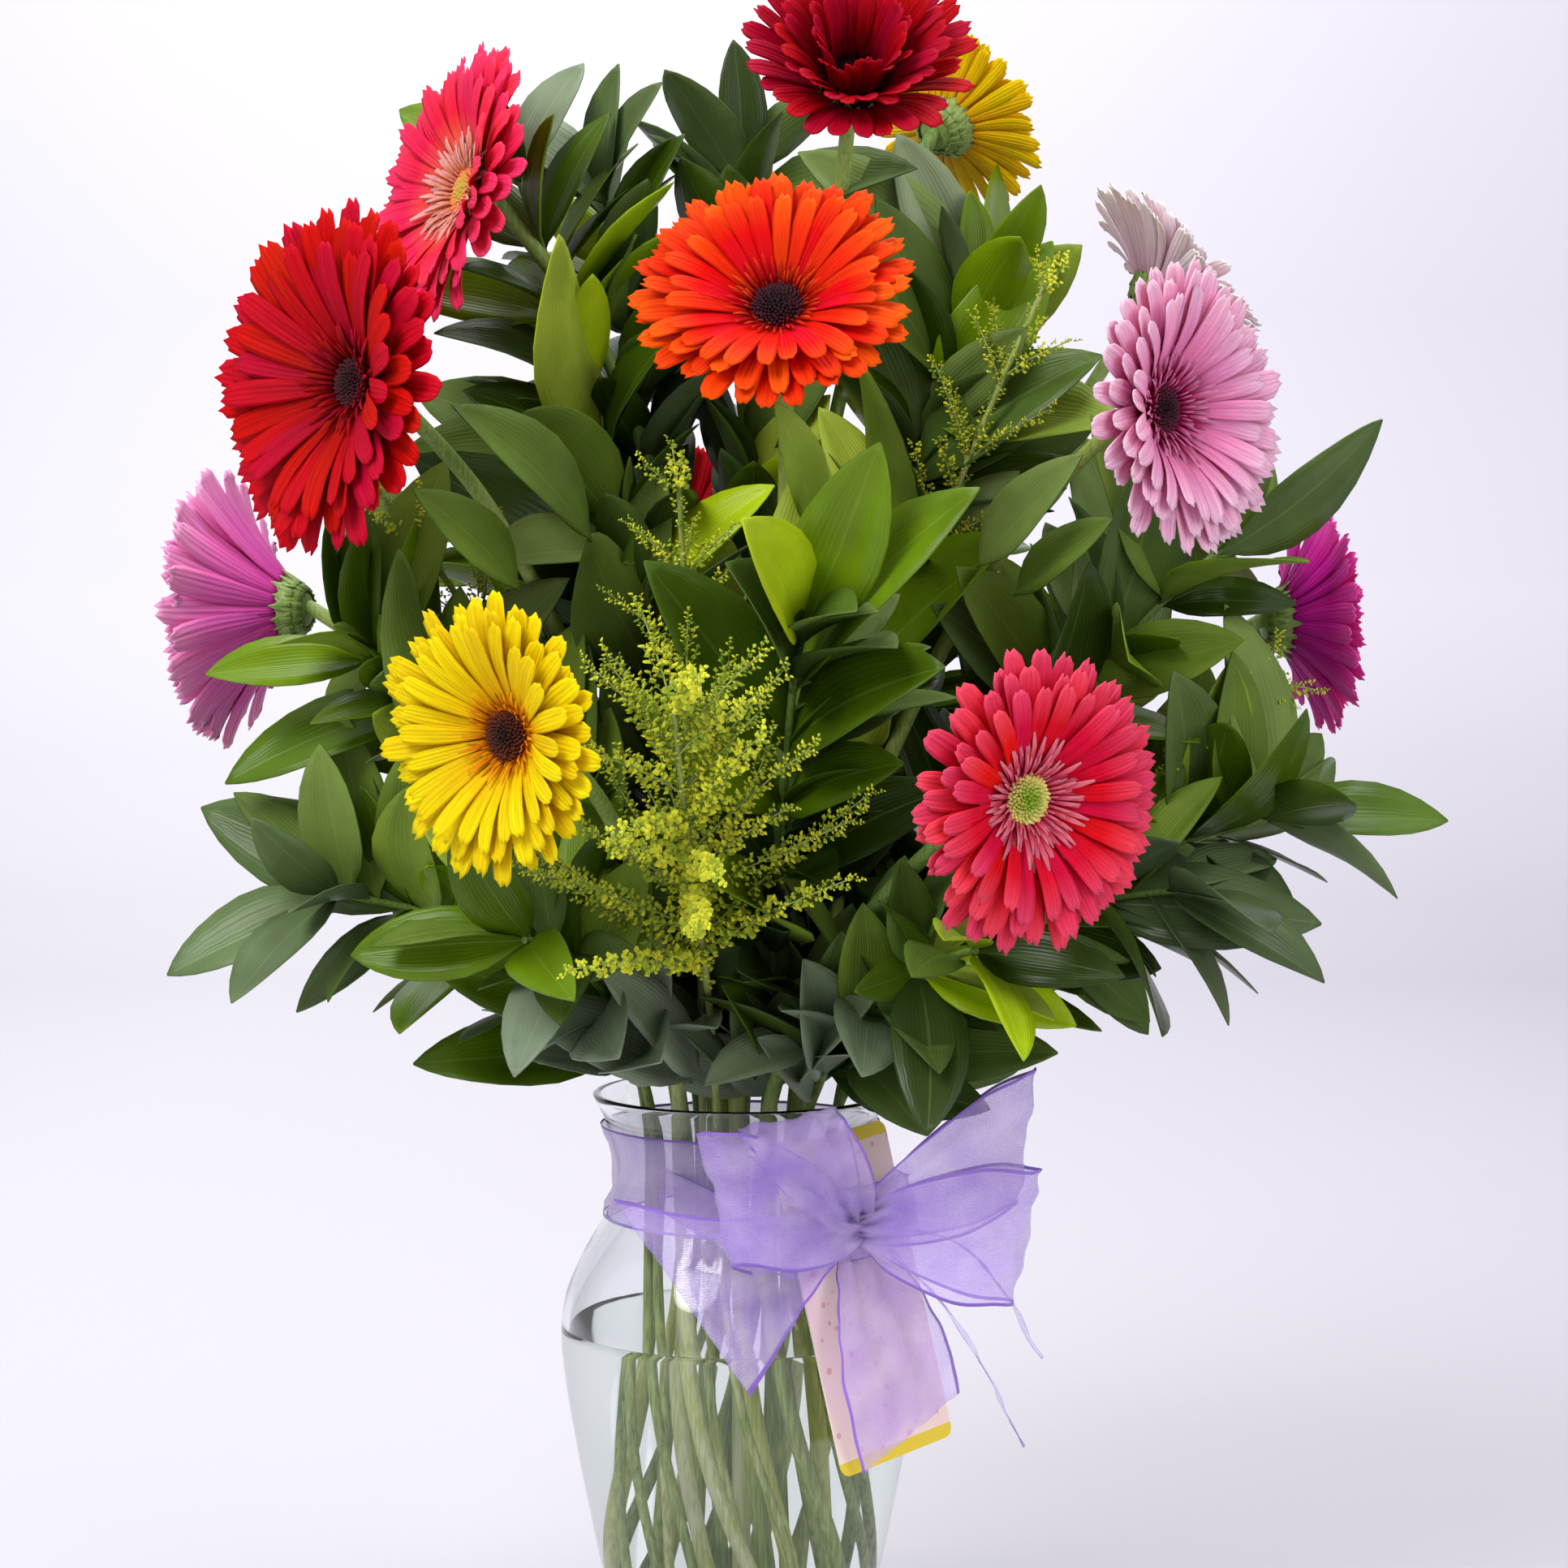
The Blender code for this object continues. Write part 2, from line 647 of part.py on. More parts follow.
def petal_rings(bloom, length, lift, spin, root, sections):
    along_petal = Vector((math.cos(lift), 0, math.sin(lift)))
    below = Vector((math.sin(lift), 0, -math.cos(lift)))
    rings = []
    for share, (wide, deep, bow) in sections.items():
        ridge = root + along_petal * (length - root.x) * share + Vector((0, 0, bow * bloom.radius))
        room = PETAL_ROOM * ridge.x * math.tan(math.pi / (2 * PETALS_IN_ROW))
        half = Vector((0, min(PETAL_WIDTH / 2 * wide, room), 0))
        ring = (ridge + half, ridge - half, ridge + below * PETAL_KEEL * deep)
        rings.append([spin @ place for place in ring])
    return rings


# A cup whose side faces are drawn out into petals, every second one in the lower row.
# Some kinds also have a crest of short inner petals, drawn out of the cup's face.
def head_mesh(bloom, rng):
    shape = bmesh.new()
    sides = 2 * PETALS_IN_ROW
    bmesh.ops.create_cone(
        shape, cap_ends=True, segments=sides, radius1=CUP_RADIUS * 0.6, radius2=CUP_RADIUS,
        depth=CUP_DEPTH, matrix=Matrix.Translation((0, 0, -CUP_DEPTH / 2)),
    )
    walls = [f for f in shape.faces if len(f.verts) == 4]
    crest = []
    if bloom.crest:
        top = max(shape.faces, key=lambda f: f.calc_center_median().z)
        crest = bmesh.ops.inset_region(shape, faces=[top], thickness=CUP_RADIUS - EYE_RADIUS)["faces"]
    for face in [*walls, *crest]:
        middle = face.calc_center_median()
        turn = math.atan2(middle.y, middle.x)
        lower = round(turn * sides / (2 * math.pi) - 0.5) % 2
        spin = Matrix.Rotation(turn, 3, "Z")
        if face in crest and lower:
            continue
        if face in crest:
            root = Vector(((EYE_RADIUS + CUP_RADIUS) / 2, 0, 0))
            up = Vector((-1, 0, 0))
            length = bloom.radius * CREST_SHARE * rng.uniform(0.92, 1.0)
            lift = math.radians(bloom.cup + CREST_LIFT + rng.uniform(-3.0, 3.0))
            sections = CREST_SECTIONS
        else:
            root = Vector((CUP_RADIUS, 0, -CUP_DEPTH * 0.3))
            up = Vector((0, 0, 1))
            length = bloom.radius * rng.uniform(0.95, 1.0)
            lift = math.radians(bloom.cup + ROW_LIFTS[lower] + rng.uniform(-1.5, 1.5))
            sections = PETAL_SECTIONS
        rings = petal_rings(bloom, length, lift, spin, root, sections)
        draw_out(shape, face, spin @ Vector((0, 1, 0)), spin @ up, rings)
    return finished(shape, bpy.data.meshes.new("head"))


# The raised disc of a flower: rings of points that rise and fall like its packed florets
def dome_mesh(radius):
    sides = 8
    sections = []
    for row, (wide, high) in enumerate(((1.0, 0.0), (0.86, 0.26), (0.48, 0.30))):
        ring = []
        for k in range(sides):
            turn = 2 * math.pi * (k + row / 2) / sides
            bump = 1.0 if row == 0 else 1.0 + 0.18 * (-1) ** k
            across = radius * wide
            ring.append(Vector((across * math.cos(turn), across * math.sin(turn), radius * high * bump)))
        sections.append(ring)
    points, faces = loft(sections, Vector((0, 0, radius * 0.34)))
    return mesh_of(points, faces, "eye")


def calyx_mesh():
    shape = bmesh.new()
    top = -CUP_DEPTH - GAP
    bmesh.ops.create_cone(
        shape, cap_ends=True, segments=6, radius1=GERBERA_STEM * 1.25, radius2=CUP_RADIUS * 0.62,
        depth=CALYX_DEPTH, matrix=Matrix.Translation((0, 0, top - CALYX_DEPTH / 2)),
    )
    mesh = bpy.data.meshes.new("calyx")
    shape.to_mesh(mesh)
    shape.free()
    return mesh


def moved(mesh, frame):
    mesh.transform(frame)
    return mesh


# Where the stem ends inside the calyx, and the way it points there: more upright than the flower
def bloom_end(bloom):
    frame = facing_frame(bloom.centre, bloom.bearing, bloom.lift)
    depth = CUP_DEPTH + GAP + CALYX_DEPTH * 0.55
    facing = frame.to_3x3() @ Vector((0, 0, 1))
    return frame @ Vector((0, 0, -depth)), (facing + Vector((0, 0, STEM_NOD))).normalized()


def build_bloom(bloom, number, stem, collection, placed):
    rng = random.Random(SEED + number)
    frame = facing_frame(bloom.centre, bloom.bearing, bloom.lift)
    name = "gerbera_" + bloom.name
    petals = head_mesh(bloom, rng)
    coloured = material(name + "_petals", bloom.petals, 0.55)
    add_object(name + "_petals", petals, collection, coloured, frame)
    eye = dome_mesh(EYE_RADIUS)
    eye_frame = frame @ Matrix.Translation((0, 0, GAP))
    add_object(name + "_eye", eye, collection, material(name + "_eye", bloom.eye, 0.8), eye_frame)
    line = tube_mesh(stem_line(stem, even_shares(5)), stem.radius, stem.resolution)
    green = fused(line, [moved(calyx_mesh(), frame)])
    add_object(name + "_stem", green, collection, material(name + "_stem", STEM_GREEN, 0.6))
    placed.append((name, world_tree(petals, frame)))
    placed.append((name, world_tree(eye, eye_frame)))
    placed.append((name, world_tree(green)))


# Ruscus


def leaf_axes(root, tip, facing):
    forward = (tip - root).normalized()
    side = facing.cross(forward).normalized()
    return forward, side, forward.cross(side)


# The right edge, the left edge and the keel at each section of a leaf that arches along its
# midrib, and then its tip; grow makes it that much larger all round
def leaf_rings(root, tip, facing, sections, grow=0.0):
    length = (tip - root).length
    forward, side, up = leaf_axes(root, tip, facing)
    rings = []
    for share, (wide, arch) in sections.items():
        middle = root.lerp(tip, share) + up * arch * length
        half = side * (wide * length + grow)
        low = up * (LEAF_THICKNESS + grow)
        rings.append((middle + half + up * grow, middle - half + up * grow, middle - low))
    return [*rings, (tip + forward * grow,) * 3]


def clear_of(placed, trial, owner):
    return not any(trial.overlap(other) for name, other in placed if name != owner)


# Ways a leaf's upper side may face: to the front and up, outwards with the stem, or along it
def leaf_facings(root, heading):
    out = Vector((root.x, root.y, 0))
    out = out.normalized() if out.length > 1e-6 else Vector((0, -1, 0))
    return out * 0.4 + Vector((0, -0.7, 0.45)) + heading * 0.2, out * 0.7 + heading * 0.7, heading


# Places a leaf may take, best first: where it is wanted, then turned or drawn in about its root
def leaf_choices(root, heading, wanted):
    for turn, close, scale in LEAF_TRIALS:
        reach = Matrix.Rotation(math.radians(turn), 3, heading) @ (wanted - root)
        axis = heading.cross(reach)
        if axis.length > 1e-6:
            reach = Matrix.Rotation(math.radians(close), 3, axis.normalized()) @ reach
        for facing in leaf_facings(root, heading):
            yield root + reach * scale, facing


def leaf_nodes(stem):
    length = free_length(stem)
    first = BARE_LENGTH / length
    count = max(4, round((LAST_NODE - first) * length / NODE_SPACING) + 1)
    return [first + (LAST_NODE - first) * k / (count - 1) for k in range(count)]


# The leaf tips wanted at each node: first the leaves that show, then others by the growth rule,
# the leaves of a node spread round it and each node turned by the golden angle from the last
def wanted_leaves(plant, number, stem, nodes, rng):
    wanted = {share: [] for share in nodes}
    for share, tip in plant.heroes:
        nearest = min(nodes, key=lambda node: abs(node - share))
        wanted[nearest].append((Vector(tip), LEAF_SECTIONS))
    for k, share in enumerate(nodes):
        root, heading = along(stem, share)
        across = heading.orthogonal().normalized()
        while len(wanted[share]) < LEAVES_AT_NODE:
            turn = (k + number) * GOLDEN_ANGLE + len(wanted[share]) * 2 * math.pi / LEAVES_AT_NODE
            opening = math.radians(rng.uniform(*LEAF_OPENING))
            length = rng.uniform(*LEAF_LENGTHS) * (1 - SHORTER_AT_TOP * k / (len(nodes) - 1))
            sideways = Matrix.Rotation(turn, 3, heading) @ across
            reach = heading * math.cos(opening) + sideways * math.sin(opening)
            wanted[share].append((root + reach * length, PLAIN_LEAF_SECTIONS))
    return wanted


# The places clear of other stems for a leaf among its choices, each with the bud it would grow from
def clear_places(root, heading, goal, sections, shape, buds, placed, name):
    for tip, facing in leaf_choices(root, heading, goal):
        bud = bud_towards(shape, buds, (tip - root).normalized())
        if bud is None:
            continue
        _, side, up = leaf_axes(root, tip, facing)
        roomy = leaf_rings(root, tip, facing, sections, LEAF_ROOM)
        if clear_of(placed, shape_from(face_at(shape, bud), side, up, roomy), name):
            yield tip, facing, bud


# How far the middle of a leaf would be from the nearest leaf there is
def light(root, tip, middles):
    middle = root.lerp(tip, 0.6)
    return min(((middle - other).length for other in middles), default=1.0)


# The leaves that show stand where they are wanted; of its clear places, any other leaf takes the
# one with the most light
def build_ruscus(plant, number, stem, collection, placed, middles):
    rng = random.Random(SEED * 31 + number)
    name = "ruscus_" + plant.name
    nodes = leaf_nodes(stem)
    mesh, shape, buds = noded_stem(stem, nodes, 0.7)
    for share, goals in wanted_leaves(plant, number, stem, nodes, rng).items():
        root, heading = along(stem, share)
        for goal, sections in goals:
            places = clear_places(root, heading, goal, sections, shape, buds[share], placed, name)
            choices = list(islice(places, LIGHT_CHOICES))
            if sections is PLAIN_LEAF_SECTIONS:
                choices.sort(key=lambda choice: -light(root, choice[0], middles))
            for tip, facing, bud in chain(choices, places):
                _, side, up = leaf_axes(root, tip, facing)
                rings = leaf_rings(root, tip, facing, sections)
                alone = shape_from(face_at(shape, bud), side, up, rings)
                if not clear_of(placed, alone, name):
                    continue
                larger = grown(shape, bud, side, up, rings)
                if larger is None:
                    continue
                shape = larger
                buds[share].remove(bud)
                placed.append((name, alone))
                middles.append(root.lerp(tip, 0.6))
                break
    add_object(name, finished(shape, mesh), collection, material(name, LEAF_GREEN, 0.35))


# Goldenrod


# One side spray: an arching twig that swells into a tuft of florets at every second point
def spray_rings(root, heading, length, sideways):
    points = []
    for k in range(SPRAY_POINTS):
        t = k / (SPRAY_POINTS - 1)
        away = heading * (SPRAY_RISE * t) + sideways * (SPRAY_SPREAD * t)
        points.append(root + away * length + Vector((0, 0, -SPRAY_SAG * length * t * t)))
    level = heading.cross(sideways).normalized()
    rings = []
    for k in range(1, SPRAY_POINTS - 1):
        across = level.cross(points[k + 1] - points[k]).normalized()
        radius = TUFT_RADIUS if k % 2 else TWIG_RADIUS
        turns = (math.radians(30), math.radians(150), math.radians(270))
        rings.append([points[k] + (across * math.cos(t) + level * math.sin(t)) * radius for t in turns])
    return across, level, [*rings, (points[-1],) * 3]


def spray_nodes(plume):
    step = (LAST_NODE - plume.start) / (plume.nodes - 1)
    return [plume.start + step * k for k in range(plume.nodes)]


def build_plume(plume, number, stem, collection, placed):
    rng = random.Random(SEED * 57 + number)
    name = "goldenrod_" + plume.name
    nodes = spray_nodes(plume)
    mesh, shape, buds = noded_stem(stem, nodes, 0.6)
    for k, share in enumerate(nodes):
        root, heading = along(stem, share)
        first = heading.orthogonal().normalized()
        for n in range(SPRAYS_AT_NODE):
            length = plume.reach * (1 - 0.6 * k / (plume.nodes - 1)) * rng.uniform(0.9, 1.1)
            for turn in SPRAY_TRIALS:
                swing = k * GOLDEN_ANGLE + n * 2 * math.pi / SPRAYS_AT_NODE + math.radians(turn)
                sideways = Matrix.Rotation(swing, 3, heading) @ first
                across, level, rings = spray_rings(root, heading, length, sideways)
                bud = bud_towards(shape, buds[share], sideways)
                if bud is None:
                    continue
                trial = shape_from(face_at(shape, bud), across, level, rings)
                if not clear_of(placed, trial, name):
                    continue
                larger = grown(shape, bud, across, level, rings)
                if larger is None:
                    continue
                shape = larger
                buds[share].remove(bud)
                placed.append((name, trial))
                break
    add_object(name, finished(shape, mesh), collection, material(name, GOLDENROD_YELLOW, 0.7))


# Card and ribbon


# Origin at the card's centre: X to its right, Y up its length, Z out of its front
def card_frame():
    across = Vector((math.cos(CARD_BEARING), math.sin(CARD_BEARING), 0))
    out = Vector((math.sin(CARD_BEARING), -math.cos(CARD_BEARING), 0))
    up = (Vector((0, 0, 1)) - out * CARD_SLOPE).normalized()
    normal = across.cross(up)
    centre = out * CARD_TOP_RADIUS + Vector((0, 0, CARD_TOP_Z)) - up * CARD_LENGTH / 2
    along_card = up * math.cos(CARD_TURN) - across * math.sin(CARD_TURN)
    axes = Matrix((along_card.cross(normal), along_card, normal)).transposed()
    return Matrix.Translation(centre) @ axes.to_4x4()


def build_card(collection):
    shape = bmesh.new()
    bmesh.ops.create_cube(shape, size=1)
    bmesh.ops.scale(shape, vec=(CARD_WIDTH, CARD_LENGTH, CARD_THICKNESS), verts=shape.verts)
    mesh = bpy.data.meshes.new("card")
    shape.to_mesh(mesh)
    shape.free()
    return add_object("card", mesh, collection, material("card", CARD_CREAM, 0.7), card_frame())


# A length of ribbon: an open surface through its stations, each a centre and half its width, thickened
def strip_mesh(stations):
    points = [p for centre, half in stations for p in (centre - half, centre + half)]
    faces = [(a, a + 1, a + 3, a + 2) for a in range(0, len(points) - 2, 2)]
    strip = add_object("strip", mesh_of(points, faces), bpy.context.scene.collection)
    thicken = strip.modifiers.new("thickness", "SOLIDIFY")
    thicken.thickness = RIBBON_THICKNESS
    thicken.offset = 0
    mesh = evaluated_mesh(strip)
    bpy.data.objects.remove(strip, do_unlink=True)
    shape = bmesh.new()
    shape.from_mesh(mesh)
    bmesh.ops.recalc_face_normals(shape, faces=shape.faces)
    bmesh.ops.triangulate(shape, faces=shape.faces)
    shape.to_mesh(mesh)
    shape.free()
    return mesh


# The turn of ribbon that holds the card against the neck: it leaves the band, crosses the card's
# front and goes back to the band
def strap_stations(frame):
    up = frame.to_3x3() @ Vector((0, 1, 0)) * STRAP_HALF
    front = CARD_THICKNESS / 2 + GAP + RIBBON_THICKNESS / 2
    edge = CARD_WIDTH / 2 + 0.0016
    stations = [
        (frame @ Vector((-edge - 0.004, KNOT_ON_CARD, front - 0.004)), up),
        *((frame @ Vector((x, KNOT_ON_CARD, front + 0.0004)), up) for x in (-edge, -0.012, 0.010, edge)),
        (frame @ Vector((edge + 0.004, KNOT_ON_CARD, front - 0.004)), up),
    ]
    ends = []
    for degrees in STRAP_ENDS:
        turn = math.radians(degrees)
        place = Vector((STRAP_RADIUS * math.sin(turn), -STRAP_RADIUS * math.cos(turn), BAND_Z))
        ends.append((place, Vector((0, 0, 0.004))))
    return [ends[0], *stations, ends[1]]


# A bow loop: out of the knot along its lower face, round the far end and back above
def loop_stations(knot, far, half, bulge):
    reach = far - knot
    side = half.cross(reach).normalized() * bulge
    gather = half.normalized() * 0.005
    return [
        (knot + reach * share + side * across, gather.lerp(half, wide))
        for share, wide, across in LOOP_ROWS
    ]


def knot_mesh(frame, knot):
    shape = bmesh.new()
    bmesh.ops.create_uvsphere(shape, u_segments=8, v_segments=6, radius=1)
    bmesh.ops.scale(shape, vec=KNOT_HALF, verts=shape.verts)
    mesh = bpy.data.meshes.new("knot")
    shape.to_mesh(mesh)
    shape.free()
    mesh.transform(Matrix.Translation(knot) @ frame.to_3x3().to_4x4())
    return mesh


# One length of ribbon: two turns round the neck as a band, the strap over the card, the knot,
# three bow loops and two tails
def build_ribbon(collection):
    frame = card_frame()
    axes = frame.to_3x3()
    wall = [(r + GAP, z) for r, z in VASE_OUTER if 0.19 < z < 0.226]
    outer = [(r + BAND_THICKNESS, z) for r, z in wall]
    band = turned("band", [*outer, *reversed(wall)], bpy.context.scene.collection, None)
    base = evaluated_mesh(band)
    bpy.data.objects.remove(band, do_unlink=True)

    knot = frame @ Vector((-0.004, KNOT_ON_CARD, 0.0075))
    pieces = [knot_mesh(frame, knot), strip_mesh(strap_stations(frame))]
    for far, half, bulge in BOW_LOOPS:
        pieces.append(strip_mesh(loop_stations(knot, Vector(far), Vector(half), bulge)))
    left_tail = [(Vector(centre), Vector(half)) for centre, half in LEFT_TAIL]
    right_tail = [(frame @ Vector(centre), axes @ Vector(half)) for centre, half in RIGHT_TAIL]
    pieces.append(strip_mesh([(knot, Vector((0.002, 0, 0.005))), *left_tail]))
    pieces.append(strip_mesh([(knot, Vector((0.005, 0, 0.002))), *right_tail]))
    return add_object("ribbon", fused(base, pieces), collection, material("ribbon", RIBBON_LILAC, 0.5))


# Every stem in its own seat at the neck, so that none meets another
def plan_stems():
    ends = {}
    for bloom in BLOOMS:
        ends["gerbera_" + bloom.name] = (*bloom_end(bloom), GERBERA_STEM, 1)
    kinds = (("ruscus_", RUSCUS, RUSCUS_STEM), ("goldenrod_", PLUMES, GOLDENROD_STEM))
    for kind, table, radius in kinds:
        for plant in table:
            ends[kind + plant.name] = (Vector(plant.tip), outward(plant.tip, plant.rise), radius, 0)
    seats = neck_seats({name: end[0] for name, end in ends.items()})
    rng = random.Random(SEED)
    stems = {}
    for name, (end, heading, radius, resolution) in ends.items():
        line = vase_line(seats[name], rng.uniform(LOWEST_CUT, HIGHEST_CUT))
        stems[name] = Stem(name, line, free_curve(seats[name], end, heading), radius, resolution)
    return stems


def main():
    clear_scene()
    arrangement = new_collection("flower_arrangement")
    cutters = new_collection("cutters")
    cutters.hide_render = True
    stems = plan_stems()
    vase = build_vase(arrangement)
    build_water(arrangement, cutters, stems.values())
    ribbon = build_ribbon(arrangement)
    card = build_card(arrangement)
    placed = [
        ("vase", world_tree(evaluated_mesh(vase))),
        ("ribbon", world_tree(ribbon.data)),
        ("card", world_tree(card.data, card.matrix_world)),
    ]
    for number, bloom in enumerate(BLOOMS):
        build_bloom(bloom, number, stems["gerbera_" + bloom.name], arrangement, placed)
    nodes = {"ruscus_" + plant.name: leaf_nodes(stems["ruscus_" + plant.name]) for plant in RUSCUS}
    nodes.update({"goldenrod_" + plume.name: spray_nodes(plume) for plume in PLUMES})
    for name, shares in nodes.items():
        stem = stems[name]
        bare = tube_mesh(noded_line(stem, shares), stem.radius + GAP, stem.resolution)
        placed.append((name, world_tree(bare)))
    middles = []
    for number, plant in enumerate(RUSCUS):
        build_ruscus(plant, number, stems["ruscus_" + plant.name], arrangement, placed, middles)
    for number, plume in enumerate(PLUMES):
        build_plume(plume, number, stems["goldenrod_" + plume.name], arrangement, placed)


main()
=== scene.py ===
# The looks of a tied bunch of gerberas, broad-leaf ruscus and goldenrod in a clear glass vase.
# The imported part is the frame: stems, leaf places and sprays are read from its nodes.
import json
import math
import random
from itertools import product

import bmesh
import bpy
from mathutils import Matrix, Vector, noise

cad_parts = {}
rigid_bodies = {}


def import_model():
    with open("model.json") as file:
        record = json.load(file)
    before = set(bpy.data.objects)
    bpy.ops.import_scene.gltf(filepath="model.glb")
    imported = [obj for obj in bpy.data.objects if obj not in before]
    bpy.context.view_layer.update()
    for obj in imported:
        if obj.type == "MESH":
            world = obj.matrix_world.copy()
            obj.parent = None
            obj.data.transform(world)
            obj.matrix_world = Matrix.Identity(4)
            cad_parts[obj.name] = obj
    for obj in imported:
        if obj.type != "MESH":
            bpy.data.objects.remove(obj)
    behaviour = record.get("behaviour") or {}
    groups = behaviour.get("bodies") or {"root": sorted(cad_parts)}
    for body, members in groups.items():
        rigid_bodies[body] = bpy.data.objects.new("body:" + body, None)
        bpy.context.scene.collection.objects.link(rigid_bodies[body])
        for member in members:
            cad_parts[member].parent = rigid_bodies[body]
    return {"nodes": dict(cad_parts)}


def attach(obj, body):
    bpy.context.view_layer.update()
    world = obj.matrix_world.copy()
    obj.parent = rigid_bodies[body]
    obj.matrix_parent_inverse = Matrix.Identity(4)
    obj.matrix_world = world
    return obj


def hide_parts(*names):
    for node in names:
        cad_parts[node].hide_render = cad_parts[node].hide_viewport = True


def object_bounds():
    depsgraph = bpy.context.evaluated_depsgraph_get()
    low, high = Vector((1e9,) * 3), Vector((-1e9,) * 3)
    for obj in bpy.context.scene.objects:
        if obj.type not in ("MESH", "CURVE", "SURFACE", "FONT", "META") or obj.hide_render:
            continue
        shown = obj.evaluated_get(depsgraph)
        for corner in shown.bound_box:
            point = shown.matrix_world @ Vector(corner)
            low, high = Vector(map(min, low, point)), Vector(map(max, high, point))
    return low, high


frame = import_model()
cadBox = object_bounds()
nodes = frame["nodes"]
goldenAngle = math.radians(137.50776)
print("frame loaded,", len(nodes), "nodes")


# small helpers


def linear(hexColour):
    parts = [int(hexColour[k : k + 2], 16) / 255 for k in (1, 3, 5)]
    return (*(c / 12.92 if c <= 0.04045 else ((c + 0.055) / 1.055) ** 2.4 for c in parts), 1.0)


def addNode(tree, kind, inputs=None, **settings):
    made = tree.nodes.new(kind)
    for name, value in settings.items():
        setattr(made, name, value)
    for name, value in (inputs or {}).items():
        if isinstance(value, bpy.types.NodeSocket):
            tree.links.new(value, made.inputs[name])
        else:
            made.inputs[name].default_value = value
    return made


def newMaterial(name, **shaderInputs):
    made = bpy.data.materials.new(name)
    made.use_nodes = True
    tree = made.node_tree
    tree.nodes.clear()
    shader = addNode(tree, "ShaderNodeBsdfPrincipled", {k.replace("_", " "): v for k, v in shaderInputs.items()})
    addNode(tree, "ShaderNodeOutputMaterial", {"Surface": shader.outputs[0]})
    return made, tree, shader


def colourRamp(tree, factor, stops):
    ramp = addNode(tree, "ShaderNodeValToRGB", {"Fac": factor})
    bands = ramp.color_ramp.elements
    while len(bands) < len(stops):
        bands.new(0.5)
    for band, (place, hexColour) in zip(bands, stops):
        band.position = place
        band.color = linear(hexColour)
    return ramp.outputs["Color"]


def mixColours(tree, factor, first, second, blend="MIX"):
    made = addNode(tree, "ShaderNodeMix", {0: factor, 6: first, 7: second}, data_type="RGBA", blend_type=blend)
    return made.outputs[2]


def maths(tree, operation, *values, kind="ShaderNodeMath", **settings):
    made = addNode(tree, kind, dict(enumerate(values)), operation=operation, **settings)
    return made.outputs[0]


def bumped(tree, shader, height, strength, distance):
    bump = addNode(tree, "ShaderNodeBump", {"Height": height, "Strength": strength, "Distance": distance})
    tree.links.new(bump.outputs[0], shader.inputs["Normal"])


def newObject(name, mesh, *materials):
    made = bpy.data.objects.new(name, mesh)
    bpy.context.scene.collection.objects.link(made)
    for material in materials:
        mesh.materials.append(material)
    return made


def meshOf(name, points, faces, edges=(), smooth=True):
    mesh = bpy.data.meshes.new(name)
    mesh.from_pydata([tuple(p) for p in points], list(edges), faces)
    mesh.polygons.foreach_set("use_smooth", [smooth] * len(mesh.polygons))
    mesh.update()
    return mesh


# Takes an object's modifiers into a plain mesh of its own
def settle(piece):
    bpy.context.view_layer.update()
    graph = bpy.context.evaluated_depsgraph_get()
    made = bpy.data.meshes.new_from_object(
        piece.evaluated_get(graph), preserve_all_data_layers=True, depsgraph=graph
    )
    piece.modifiers.clear()
    old = piece.data
    piece.data = made
    made.name = piece.name
    bpy.data.meshes.remove(old)
    return piece


def addThickness(piece, thickness, offset=-1.0, backMaterial=0):
    wall = piece.modifiers.new("wall", "SOLIDIFY")
    wall.thickness = thickness
    wall.offset = offset
    wall.use_even_offset = False
    wall.material_offset = backMaterial
    return wall


# Rows of points as a sheet of quads, with u along the rows and v across them
def sheetOf(name, rows, uvScale=(1.0, 1.0)):
    across = len(rows[0])
    points = [p for row in rows for p in row]
    faces, uvs = [], []
    for i in range(len(rows) - 1):
        for j in range(across - 1):
            a = i * across + j
            faces.append((a, a + 1, a + across + 1, a + across))
            uvs += [(i, j), (i, j + 1), (i + 1, j + 1), (i + 1, j)]
    mesh = meshOf(name, points, faces)
    layer = mesh.uv_layers.new(name="UVMap")
    for loop, (i, j) in zip(layer.data, uvs):
        loop.uv = (i / (len(rows) - 1) * uvScale[0], j / (across - 1) * uvScale[1])
    return mesh


# A smooth line through points; share runs from 0 to 1 over all of them
def smoothLine(points, share):
    place = min(max(share, 0.0), 1.0) * (len(points) - 1)
    k = min(int(place), len(points) - 2)
    t = place - k
    b, c = points[k], points[k + 1]
    a = points[k - 1] if k else b * 2 - c
    d = points[k + 2] if k + 2 < len(points) else c * 2 - b
    return 0.5 * (2 * b + (c - a) * t + (2 * a - 5 * b + 4 * c - d) * t * t + (3 * b - a - 3 * c + d) * t**3)


# geometry nodes


def newGroup(name, inputs):
    group = bpy.data.node_groups.new(name, "GeometryNodeTree")
    group.interface.new_socket("Geometry", in_out="INPUT", socket_type="NodeSocketGeometry")
    for label, kind in inputs.items():
        group.interface.new_socket(label, in_out="INPUT", socket_type="NodeSocket" + kind)
    group.interface.new_socket("Geometry", in_out="OUTPUT", socket_type="NodeSocketGeometry")
    source = group.nodes.new("NodeGroupInput")
    return group, source.outputs


def useGroup(piece, group, settings):
    modifier = piece.modifiers.new(group.name, "NODES")
    modifier.node_group = group
    for item in group.interface.items_tree:
        if item.item_type == "SOCKET" and item.in_out == "INPUT" and item.name in settings:
            modifier[item.identifier] = settings[item.name]
    return modifier


def randomValue(tree, low, high, seed, which):
    made = addNode(
        tree, "FunctionNodeRandomValue", {2: low, 3: high, "ID": which, "Seed": seed}, data_type="FLOAT",
    )
    return made.outputs[1]


